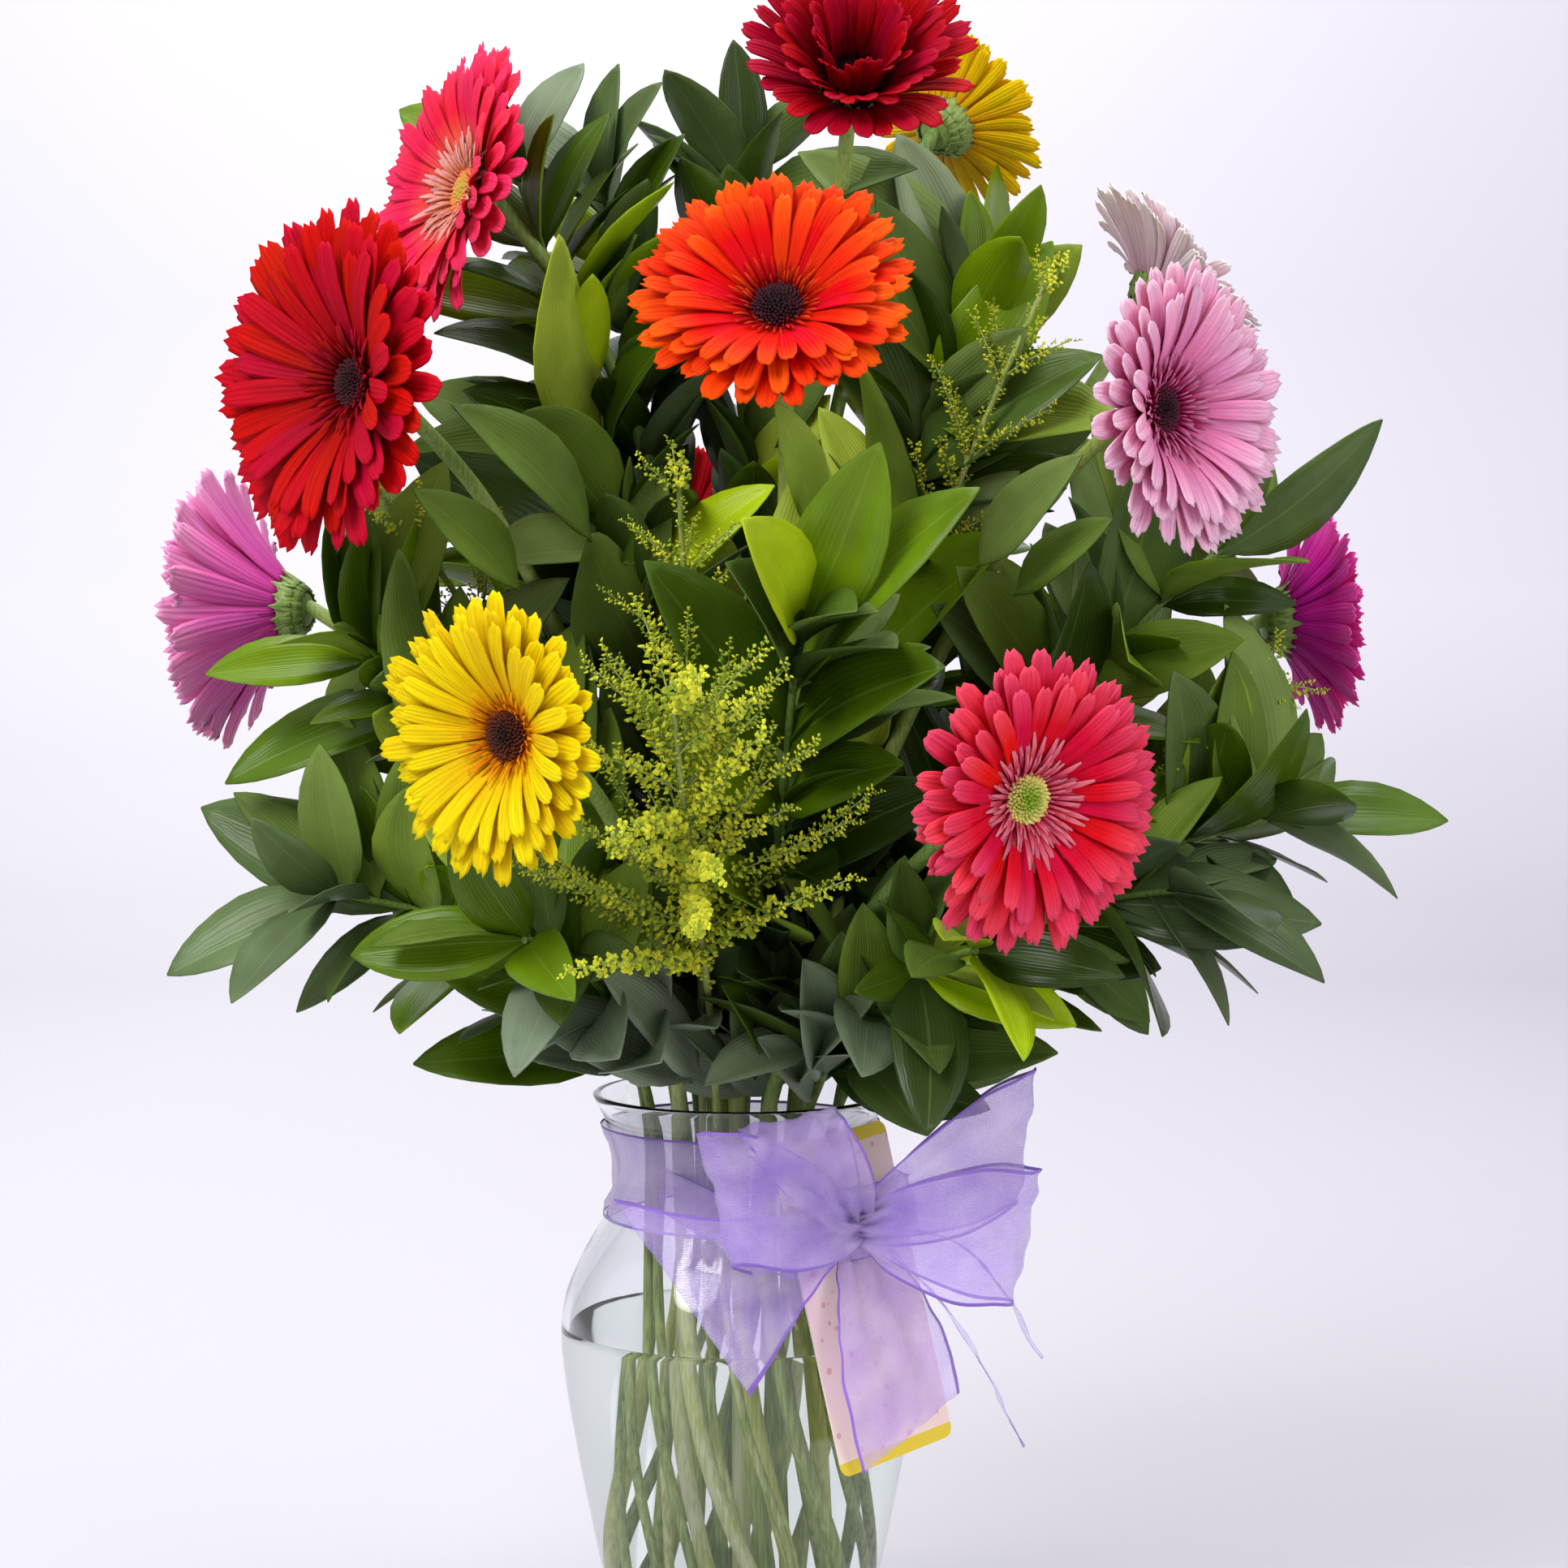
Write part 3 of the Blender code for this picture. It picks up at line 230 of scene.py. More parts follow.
# A whorl of petals: copies stand round a circle, each lifted and turned a little differently
def petalWhorl():
    tree, given = newGroup("petalWhorl", {
        "Petals": "Collection", "Count": "Int", "Root radius": "Float", "Root height": "Float",
        "Lift": "Float", "Lift spread": "Float", "Size": "Float", "Size spread": "Float",
        "First turn": "Float", "Seed": "Int", "Finish": "Material",
    })
    ring = addNode(tree, "GeometryNodeMeshCircle", {"Vertices": given["Count"], "Radius": given["Root radius"]})
    index = addNode(tree, "GeometryNodeInputIndex").outputs[0]
    step = maths(tree, "DIVIDE", 2 * math.pi, given["Count"])
    sway = randomValue(tree, -0.045, 0.045, given["Seed"], index)
    turn = maths(tree, "MULTIPLY_ADD", index, step, sway)
    turn = maths(tree, "ADD", turn, given["First turn"])
    radius = given["Root radius"]
    place = addNode(tree, "ShaderNodeCombineXYZ", {
        "X": maths(tree, "MULTIPLY", maths(tree, "COSINE", turn), radius),
        "Y": maths(tree, "MULTIPLY", maths(tree, "SINE", turn), radius),
        "Z": given["Root height"],
    })
    placed = addNode(tree, "GeometryNodeSetPosition", {"Geometry": ring.outputs[0], "Position": place.outputs[0]})
    spread = given["Lift spread"]
    nod = maths(tree, "MULTIPLY", randomValue(tree, -1.0, 1.0, maths(tree, "ADD", given["Seed"], 1.0), index), spread)
    lift = maths(tree, "MULTIPLY", maths(tree, "ADD", given["Lift"], nod), -1.0)
    roll = randomValue(tree, -0.16, 0.16, maths(tree, "ADD", given["Seed"], 2.0), index)
    aim = addNode(tree, "ShaderNodeCombineXYZ", {"X": roll, "Y": lift, "Z": turn})
    grow = maths(
        tree, "MULTIPLY_ADD", randomValue(tree, -1.0, 1.0, maths(tree, "ADD", given["Seed"], 3.0), index),
        given["Size spread"], given["Size"],
    )
    kinds = addNode(tree, "GeometryNodeCollectionInfo", {
        "Collection": given["Petals"], "Separate Children": True, "Reset Children": True,
    })
    copies = addNode(tree, "GeometryNodeInstanceOnPoints", {
        "Points": placed.outputs[0], "Instance": kinds.outputs[0], "Pick Instance": True,
        "Rotation": aim.outputs[0], "Scale": grow,
    })
    tone = randomValue(tree, 0.0, 1.0, maths(tree, "ADD", given["Seed"], 4.0), index)
    toned = addNode(
        tree, "GeometryNodeStoreNamedAttribute",
        {"Geometry": copies.outputs[0], "Name": "tone", "Value": tone}, data_type="FLOAT", domain="INSTANCE",
    )
    real = addNode(tree, "GeometryNodeRealizeInstances", {"Geometry": toned.outputs[0]})
    done = addNode(tree, "GeometryNodeSetMaterial", {"Geometry": real.outputs[0], "Material": given["Finish"]})
    joined = addNode(tree, "GeometryNodeJoinGeometry")
    tree.links.new(done.outputs[0], joined.inputs[0])
    tree.links.new(given["Geometry"], joined.inputs[0])
    addNode(tree, "NodeGroupOutput", {"Geometry": joined.outputs[0]})
    return tree


# The eye of a flower: buds packed in a golden-angle spiral on a low dome
def floretSpiral():
    tree, given = newGroup("floretSpiral", {
        "Bud": "Object", "Count": "Int", "Radius": "Float", "Height": "Float", "Base": "Float",
        "Bud size": "Float", "Seed": "Int", "Finish": "Material",
    })
    line = addNode(tree, "GeometryNodeMeshLine", {"Count": given["Count"]})
    index = addNode(tree, "GeometryNodeInputIndex").outputs[0]
    share = maths(tree, "SQRT", maths(tree, "DIVIDE", maths(tree, "ADD", index, 0.5), given["Count"]))
    turn = maths(tree, "MULTIPLY", index, goldenAngle)
    radius = maths(tree, "MULTIPLY", share, given["Radius"])
    fall = maths(tree, "MULTIPLY", maths(tree, "MULTIPLY", share, share), given["Height"])
    height = maths(tree, "SUBTRACT", maths(tree, "ADD", given["Base"], given["Height"]), fall)
    place = addNode(tree, "ShaderNodeCombineXYZ", {
        "X": maths(tree, "MULTIPLY", maths(tree, "COSINE", turn), radius),
        "Y": maths(tree, "MULTIPLY", maths(tree, "SINE", turn), radius),
        "Z": height,
    })
    placed = addNode(tree, "GeometryNodeSetPosition", {"Geometry": line.outputs[0], "Position": place.outputs[0]})
    lean = maths(tree, "MULTIPLY", share, 0.5)
    sway = randomValue(tree, -0.2, 0.2, given["Seed"], index)
    aim = addNode(tree, "ShaderNodeCombineXYZ", {"X": 0.0, "Y": maths(tree, "ADD", lean, sway), "Z": turn})
    size = maths(tree, "MULTIPLY", given["Bud size"], randomValue(tree, 0.8, 1.2, maths(tree, "ADD", given["Seed"], 1.0), index))
    bud = addNode(tree, "GeometryNodeObjectInfo", {"Object": given["Bud"], "As Instance": True})
    copies = addNode(tree, "GeometryNodeInstanceOnPoints", {
        "Points": placed.outputs[0], "Instance": bud.outputs["Geometry"], "Rotation": aim.outputs[0], "Scale": size,
    })
    toned = addNode(
        tree, "GeometryNodeStoreNamedAttribute",
        {"Geometry": copies.outputs[0], "Name": "tone", "Value": share}, data_type="FLOAT", domain="INSTANCE",
    )
    real = addNode(tree, "GeometryNodeRealizeInstances", {"Geometry": toned.outputs[0]})
    done = addNode(tree, "GeometryNodeSetMaterial", {"Geometry": real.outputs[0], "Material": given["Finish"]})
    joined = addNode(tree, "GeometryNodeJoinGeometry")
    tree.links.new(done.outputs[0], joined.inputs[0])
    tree.links.new(given["Geometry"], joined.inputs[0])
    addNode(tree, "NodeGroupOutput", {"Geometry": joined.outputs[0]})
    return tree


# A stem: a round section swept along a smooth line through the given points
def stemSweep():
    tree, given = newGroup("stemSweep", {
        "Step": "Float", "Sides": "Int", "Finish": "Material",
    })
    line = addNode(tree, "GeometryNodeMeshToCurve", {"Mesh": given["Geometry"]})
    smooth = addNode(tree, "GeometryNodeCurveSplineType", {"Curve": line.outputs[0]}, spline_type="CATMULL_ROM")
    even = addNode(tree, "GeometryNodeResampleCurve", {"Curve": smooth.outputs[0], "Length": given["Step"]}, mode="LENGTH")
    ring = addNode(tree, "GeometryNodeCurvePrimitiveCircle", {"Resolution": given["Sides"], "Radius": 1.0})
    thick = addNode(tree, "GeometryNodeInputNamedAttribute", {"Name": "stemRadius"}, data_type="FLOAT")
    sized = addNode(tree, "GeometryNodeSetCurveRadius", {"Curve": even.outputs[0], "Radius": thick.outputs[0]})
    swept = addNode(tree, "GeometryNodeCurveToMesh", {
        "Curve": sized.outputs[0], "Profile Curve": ring.outputs[0], "Fill Caps": True,
    })
    if "Scale" in swept.inputs:
        tree.links.new(thick.outputs[0], swept.inputs["Scale"])
    shaded = addNode(tree, "GeometryNodeSetShadeSmooth", {"Geometry": swept.outputs[0]})
    real = addNode(tree, "GeometryNodeRealizeInstances", {"Geometry": shaded.outputs[0]})
    done = addNode(tree, "GeometryNodeSetMaterial", {"Geometry": real.outputs[0], "Material": given["Finish"]})
    addNode(tree, "NodeGroupOutput", {"Geometry": done.outputs[0]})
    return tree


# Goldenrod: tufted branchlets stand along each spray, shorter towards its tip
def branchletSpray():
    tree, given = newGroup("branchletSpray", {
        "Branchlets": "Collection", "Spacing": "Float", "Size": "Float", "Seed": "Int", "Finish": "Material",
    })
    line = addNode(tree, "GeometryNodeMeshToCurve", {"Mesh": given["Geometry"]})
    smooth = addNode(tree, "GeometryNodeCurveSplineType", {"Curve": line.outputs[0]}, spline_type="CATMULL_ROM")
    spots = addNode(tree, "GeometryNodeCurveToPoints", {"Curve": smooth.outputs[0], "Length": given["Spacing"]}, mode="LENGTH")
    index = addNode(tree, "GeometryNodeInputIndex").outputs[0]
    bare = addNode(tree, "GeometryNodeInputNamedAttribute", {"Name": "bushy"}, data_type="FLOAT")
    aim = addNode(tree, "FunctionNodeAlignRotationToVector", {"Vector": spots.outputs["Tangent"]}, axis="Z")
    turn = addNode(tree, "ShaderNodeCombineXYZ", {
        "X": 0.0, "Y": 0.0, "Z": maths(tree, "MULTIPLY", index, goldenAngle),
    })
    spun = addNode(tree, "FunctionNodeRotateRotation", {
        "Rotation": aim.outputs[0], "Rotate By": turn.outputs[0],
    }, rotation_space="LOCAL")
    size = maths(tree, "MULTIPLY", given["Size"], maths(
        tree, "MULTIPLY", bare.outputs[0], randomValue(tree, 0.7, 1.2, given["Seed"], index)))
    kinds = addNode(tree, "GeometryNodeCollectionInfo", {
        "Collection": given["Branchlets"], "Separate Children": True, "Reset Children": True,
    })
    copies = addNode(tree, "GeometryNodeInstanceOnPoints", {
        "Points": spots.outputs[0], "Instance": kinds.outputs[0], "Pick Instance": True,
        "Rotation": spun.outputs[0], "Scale": size,
    })
    toned = addNode(
        tree, "GeometryNodeStoreNamedAttribute",
        {"Geometry": copies.outputs[0], "Name": "tone",
         "Value": randomValue(tree, 0.0, 1.0, maths(tree, "ADD", given["Seed"], 1.0), index)},
        data_type="FLOAT", domain="INSTANCE",
    )
    real = addNode(tree, "GeometryNodeRealizeInstances", {"Geometry": toned.outputs[0]})
    done = addNode(tree, "GeometryNodeSetMaterial", {"Geometry": real.outputs[0], "Material": given["Finish"]})
    addNode(tree, "NodeGroupOutput", {"Geometry": done.outputs[0]})
    return tree


# finishes


def petalFinish(name, root, middle, tip, edge=0.5):
    # fresh gerbera petal: a soft satin skin, fine ridges from root to tip, colour that shifts along it
    material, tree, shader = newMaterial(name, Roughness=0.6, Specular_IOR_Level=0.08, Subsurface_Weight=0.2, Subsurface_Scale=0.004)
    uv = addNode(tree, "ShaderNodeTexCoord").outputs["UV"]
    split = addNode(tree, "ShaderNodeSeparateXYZ", {0: uv})
    tone = addNode(tree, "ShaderNodeAttribute", attribute_name="tone").outputs["Fac"]
    base = colourRamp(tree, split.outputs[0], [(0.0, root), (edge, middle), (1.0, tip)])
    # streaks about 0.6 mm wide on a petal 8 mm wide
    streakPlace = addNode(tree, "ShaderNodeCombineXYZ", {
        "X": maths(tree, "MULTIPLY", split.outputs[0], 1.6),
        "Y": maths(tree, "MULTIPLY_ADD", tone, 37.0, maths(tree, "MULTIPLY", split.outputs[1], 7.0)),
        "Z": tone,
    })
    streak = addNode(tree, "ShaderNodeTexNoise", {"Vector": streakPlace.outputs[0], "Scale": 2.0, "Detail": 3.0})
    light = colourRamp(tree, streak.outputs[0], [(0.3, "#b0b0b0"), (0.7, "#ffffff")])
    shade = mixColours(tree, 0.6, base, mixColours(tree, 1.0, base, light, "MULTIPLY"))
    dim = addNode(tree, "ShaderNodeHueSaturation", {
        "Color": shade, "Value": maths(tree, "MULTIPLY_ADD", tone, 0.16, 0.92),
        "Hue": maths(tree, "MULTIPLY_ADD", tone, 0.012, 0.494),
    })
    tree.links.new(dim.outputs[0], shader.inputs["Base Color"])
    ridges = maths(tree, "SINE", maths(tree, "MULTIPLY", split.outputs[1], 30.0))
    height = maths(tree, "ADD", ridges, streak.outputs[0])
    bumped(tree, shader, height, 0.35, 0.0004)
    return material


def floretFinish(name, middle, rim):
    # packed disc buds: matt and velvety, darker or paler towards the rim
    material, tree, shader = newMaterial(name, Roughness=0.75, Specular_IOR_Level=0.3)
    tone = addNode(tree, "ShaderNodeAttribute", attribute_name="tone").outputs["Fac"]
    place = addNode(tree, "ShaderNodeTexCoord").outputs["Object"]
    grain = addNode(tree, "ShaderNodeTexNoise", {"Vector": place, "Scale": 900.0, "Detail": 2.0})
    base = colourRamp(tree, tone, [(0.25, middle), (0.85, rim)])
    mixed = mixColours(tree, 0.5, base, mixColours(tree, 1.0, base, grain.outputs[1], "OVERLAY"))
    tree.links.new(mixed, shader.inputs["Base Color"])
    bumped(tree, shader, grain.outputs[0], 0.4, 0.0004)
    return material


def leafFinish(name, stops, sage, roughness, veinStrength):
    # ruscus blade: a thick waxy skin with a soft white gloss and parallel veins about 1.6 mm apart
    material, tree, shader = newMaterial(name, Roughness=roughness, Specular_IOR_Level=0.22)
    uv = addNode(tree, "ShaderNodeTexCoord").outputs["UV"]
    split = addNode(tree, "ShaderNodeSeparateXYZ", {0: uv})
    tone = addNode(tree, "ShaderNodeAttribute", attribute_name="tone").outputs["Fac"]
    grey = addNode(tree, "ShaderNodeAttribute", attribute_name="sage").outputs["Fac"]
    base = mixColours(tree, grey, colourRamp(tree, tone, stops), addNode(tree, "ShaderNodeRGB").outputs[0])
    base.node.inputs[7].links[0].from_node.outputs[0].default_value = linear(sage)
    wander = addNode(tree, "ShaderNodeTexNoise", {
        "Vector": addNode(tree, "ShaderNodeTexCoord").outputs["Object"], "Scale": 38.0, "Detail": 4.0,
    })
    patch = colourRamp(tree, wander.outputs[0], [(0.32, "#9a9a9a"), (0.68, "#ffffff")])
    base = mixColours(tree, 0.45, base, mixColours(tree, 1.0, base, patch, "MULTIPLY"))
    # veins gather towards both ends, as the UV does
    across = maths(tree, "ABSOLUTE", maths(tree, "SUBTRACT", split.outputs[1], 0.5))
    vein = maths(tree, "SINE", maths(tree, "MULTIPLY", across, 108.0))
    rib = maths(tree, "SMOOTH_MIN", maths(tree, "MULTIPLY", across, 34.0), 1.0, 0.3)
    paler = mixColours(tree, 1.0, base, addNode(tree, "ShaderNodeRGB").outputs[0], "SCREEN")
    paler.node.inputs[7].links[0].from_node.outputs[0].default_value = linear("#3c4a22")
    ribbed = mixColours(tree, rib, paler, base)
    lined = mixColours(tree, maths(tree, "MULTIPLY_ADD", vein, 0.05, 0.05), ribbed, paler)
    tree.links.new(lined, shader.inputs["Base Color"])
    height = maths(tree, "MULTIPLY_ADD", vein, 0.35, maths(tree, "MULTIPLY", rib, 1.6))
    bumped(tree, shader, height, veinStrength, 0.0003)
    return material


def stemFinish(name, dark, light, roughness=0.5, underGlassLight=("#93ad2e", "#ffffbe")):
    # cut stalk: long pale streaks that run with the fibres
    material, tree, shader = newMaterial(name, Roughness=roughness)
    place = addNode(tree, "ShaderNodeTexCoord").outputs["Object"]
    stretched = addNode(tree, "ShaderNodeMapping", {"Vector": place, "Scale": (900.0, 900.0, 40.0)})
    fibre = addNode(tree, "ShaderNodeTexNoise", {"Vector": stretched.outputs[0], "Scale": 1.0, "Detail": 3.0})
    blotch = addNode(tree, "ShaderNodeTexNoise", {"Vector": place, "Scale": 22.0, "Detail": 3.0})
    both = maths(tree, "MULTIPLY_ADD", fibre.outputs[0], 0.5, maths(tree, "MULTIPLY", blotch.outputs[0], 0.55))
    leafy = colourRamp(tree, both, [(0.36, dark), (0.66, light)])
    # painted light: paler and yellower below the neck, standing in for the lamp light that the glass and water keep
    # from the stalks
    paintedGlassLight = colourRamp(tree, both, [(0.38, underGlassLight[0]), (0.62, underGlassLight[1])])
    height = addNode(tree, "ShaderNodeSeparateXYZ", {0: place}).outputs[2]
    aboveGlassNeck = addNode(tree, "ShaderNodeMapRange", {"Value": height, "From Min": 0.17, "From Max": 0.25})
    tree.links.new(mixColours(tree, aboveGlassNeck.outputs[0], paintedGlassLight, leafy), shader.inputs["Base Color"])
    bumped(tree, shader, fibre.outputs[0], 0.3, 0.0003)
    return material


def goldenrodFinish(name, bract, bud, flower):
    # dried-back goldenrod: dusty matt florets, greener in the bud
    material, tree, shader = newMaterial(name, Roughness=0.75, Specular_IOR_Level=0.3)
    tone = addNode(tree, "ShaderNodeAttribute", attribute_name="tone").outputs["Fac"]
    open_ = addNode(tree, "ShaderNodeAttribute", attribute_name="bloom").outputs["Fac"]
    place = addNode(tree, "ShaderNodeTexCoord").outputs["Object"]
    grain = addNode(tree, "ShaderNodeTexNoise", {"Vector": place, "Scale": 420.0, "Detail": 2.0})
    mixed = maths(tree, "MULTIPLY_ADD", grain.outputs[0], 0.7, maths(tree, "MULTIPLY", tone, 0.5))
    florets = colourRamp(tree, mixed, [(0.3, bud), (0.75, flower)])
    twig = addNode(tree, "ShaderNodeRGB").outputs[0]
    twig.default_value = linear(bract)
    tree.links.new(mixColours(tree, open_, twig, florets), shader.inputs["Base Color"])
    bumped(tree, shader, grain.outputs[0], 0.5, 0.0004)
    return material


# reading the frame's stems


def neighbours(verts):
    return {edge.other_vert(vert) for vert in verts for edge in vert.link_edges} - set(verts)


# From a tip back to the four corners that it grew from, or nothing if the vertex isn't a tip
def outgrowth(tip, mostRings, leastLength):
    rings, seen, edge = [], {tip}, neighbours([tip])
    while len(edge) == 3 and len(rings) < mostRings:
        rings.append(edge)
        seen |= edge
        edge = neighbours(edge) - seen
    if len(rings) != mostRings and mostRings > 2 or len(edge) != 4 or not rings:
        return None
    if min((vert.co - tip.co).length for vert in rings[0]) < leastLength:
        return None
    return [[vert.co.copy() for vert in ring] for ring in rings], [vert.co.copy() for vert in edge], seen


def middleOf(places):
    return sum(places, Vector()) / len(places)


# The smooth line and radius of a node's stem, and all that grows from it
def readStem(name, corners, mostRings=0, leastLength=0.0):
    shape = bmesh.new()
    shape.from_mesh(nodes[name].data)
    bmesh.ops.remove_doubles(shape, verts=shape.verts, dist=1e-5)
    shape.verts.ensure_lookup_table()
    grown, used = [], set()
    for vert in shape.verts:
        found = outgrowth(vert, mostRings, leastLength) if mostRings and len(vert.link_edges) == 3 else None
        if found:
            grown.append((vert.co.copy(), found[0], found[1]))
            used |= found[2]
    left = [vert for vert in shape.verts if vert not in used]
    ring = set(sorted(left, key=lambda vert: vert.co.z)[:corners])
    seen, line = set(used), []
    while len(ring) == corners:
        centre = middleOf([vert.co for vert in ring])
        line.append((centre, sum((vert.co - centre).length for vert in ring) / corners))
        seen |= ring
        ring = neighbours(ring) - seen
    shape.free()
    return line, grown


# vase and water

vaseSet = {
    "outer": (  # radius and height down the outside
        (0.0550, 0.235), (0.0500, 0.224), (0.0460, 0.207), (0.0490, 0.193), (0.0580, 0.177),
        (0.0650, 0.161), (0.0670, 0.145), (0.0650, 0.125), (0.0600, 0.096), (0.0540, 0.066),
        (0.0480, 0.038), (0.0450, 0.014), (0.0460, 0.000),
    ),
    "wall": 0.0028,
    "floor": 0.013,
    "water": 0.148,
    "overlap": 0.0001,  # the water reaches into the glass, so that light meets one surface there
    "steps": 96,
}


def turnedPiece(name, profile, material):
    points = [(r, 0, z) for r, z in profile]
    mesh = meshOf(name, points, [], [(k, k + 1) for k in range(len(points) - 1)])
    piece = newObject(name, mesh, material)
    screw = piece.modifiers.new("turn", "SCREW")
    screw.steps = screw.render_steps = vaseSet["steps"]
    screw.use_merge_vertices = True
    screw.merge_threshold = 0.00005
    screw.use_smooth_shade = True
    settle(piece)
    shape = bmesh.new()
    shape.from_mesh(piece.data)
    bmesh.ops.remove_doubles(shape, verts=shape.verts, dist=2e-5)
    bmesh.ops.recalc_face_normals(shape, faces=shape.faces)
    shape.to_mesh(piece.data)
    shape.free()
    return piece


def smoothProfile(rows, count):
    line = [Vector((r, z, 0)) for r, z in rows]
    return [(p.x, p.y) for p in (smoothLine(line, k / (count - 1)) for k in range(count))]


def makeVase():
    # soda-lime glass, blown: clear, with the faintest green in its thickness
    glass, tree, shader = newMaterial("blown_glass", Roughness=0.015, IOR=1.5, Transmission_Weight=1.0)
    place = addNode(tree, "ShaderNodeTexCoord").outputs["Object"]
    ripple = addNode(tree, "ShaderNodeTexNoise", {"Vector": place, "Scale": 14.0, "Detail": 1.0})
    tint = colourRamp(tree, ripple.outputs[0], [(0.3, "#f4f8f8"), (0.7, "#fbfdfd")])
    tree.links.new(tint, shader.inputs["Base Color"])
    bumped(tree, shader, ripple.outputs[0], 0.12, 0.002)
    water, tree, shader = newMaterial("vase_water", Roughness=0.0, IOR=1.2, Transmission_Weight=1.0)
    place = addNode(tree, "ShaderNodeTexCoord").outputs["Object"]
    swirl = addNode(tree, "ShaderNodeTexNoise", {"Vector": place, "Scale": 9.0, "Detail": 1.0})
    tint = colourRamp(tree, swirl.outputs[0], [(0.3, "#f2f6f0"), (0.7, "#fafcf8")])
    tree.links.new(tint, shader.inputs["Base Color"])

    # the still top of the water: so low an index lets the eye pass it with only a thin bright line at the edge
    surface, tree, shader = newMaterial("vase_water_top", Roughness=0.0, IOR=1.03, Transmission_Weight=1.0)
    place = addNode(tree, "ShaderNodeTexCoord").outputs["Object"]
    swirl = addNode(tree, "ShaderNodeTexNoise", {"Vector": place, "Scale": 9.0, "Detail": 1.0})
    tree.links.new(colourRamp(tree, swirl.outputs[0], [(0.3, "#f6faf6"), (0.7, "#ffffff")]), shader.inputs["Base Color"])

    outer = smoothProfile(vaseSet["outer"], 74)
    wall, floor = vaseSet["wall"], vaseSet["floor"]
    inner = [(r - wall, z) for r, z in outer if z > floor + 0.010]
    lowest = inner[-1][0]
    inner += [(lowest - 0.0012, floor + 0.006), (lowest - 0.005, floor + 0.002), (lowest - 0.012, floor)]
    lip = [(0.0550 - wall * 0.5 + wall * 0.5 * math.cos(a), 0.235 + wall * 0.35 * math.sin(a))
           for a in (math.radians(d) for d in (150, 115, 90, 65, 30))]
    foot = [(0.0452, 0.0008), (0.0440, 0.0), (0.0, 0.0)]
    body = [p for p in outer if p[1] > 0.0009]
    vase = turnedPiece("vase_glass", [(0.0, floor), *reversed(inner), *lip, *body, *foot], glass)
    over, level = vaseSet["overlap"], vaseSet["water"]
    below = [(r + over, z) for r, z in inner if z < level - 0.001]
    below[-1] = (below[-1][0], floor - over)
    edge = next(r for r, z in reversed(inner) if z >= level) + over
    rise = [(0.0, level), (edge - 0.0032, level), (edge - 0.0012, level + 0.0004), (edge, level + 0.0014)]
    inside = turnedPiece("vase_water", [*rise, *below, (0.0, floor - over)], water)
    inside.data.materials.append(surface)
    for face in inside.data.polygons:
        face.material_index = 1 if face.normal.z > 0.6 and face.center.z > level - 0.002 else 0
    for piece, node, slot in ((vase, "vase", "clear_glass"), (inside, "water", "water")):
        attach(piece, "root")
        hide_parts(node)
    print("vase and water made")
    return vase


# stems


# Where a stalk is cut off near the vase's floor: straight on from its lowest part, kept inside the glass
def cutEnd(line):
    (low, radius), (above, _) = line[0], line[1]
    height = 0.018 + (low.z - 0.050) * 0.6
    place = low + (low - above) * ((low.z - height) / (above.z - low.z))
    inward = min(1.0, 0.038 / max(math.hypot(place.x, place.y), 0.001))
    return Vector((place.x * inward, place.y * inward, height)), radius


def sweptStem(name, line, group, material, sides, step=0.006):
    line = [cutEnd(line), *line]
    mesh = meshOf(name, [p for p, _ in line], [], [(k, k + 1) for k in range(len(line) - 1)])
    radius = mesh.attributes.new("stemRadius", "FLOAT", "POINT")
    radius.data.foreach_set("value", [r for _, r in line])
    piece = newObject(name, mesh, material)
    useGroup(piece, group, {"Step": step, "Sides": sides, "Finish": material})
    return settle(piece)


# gerberas

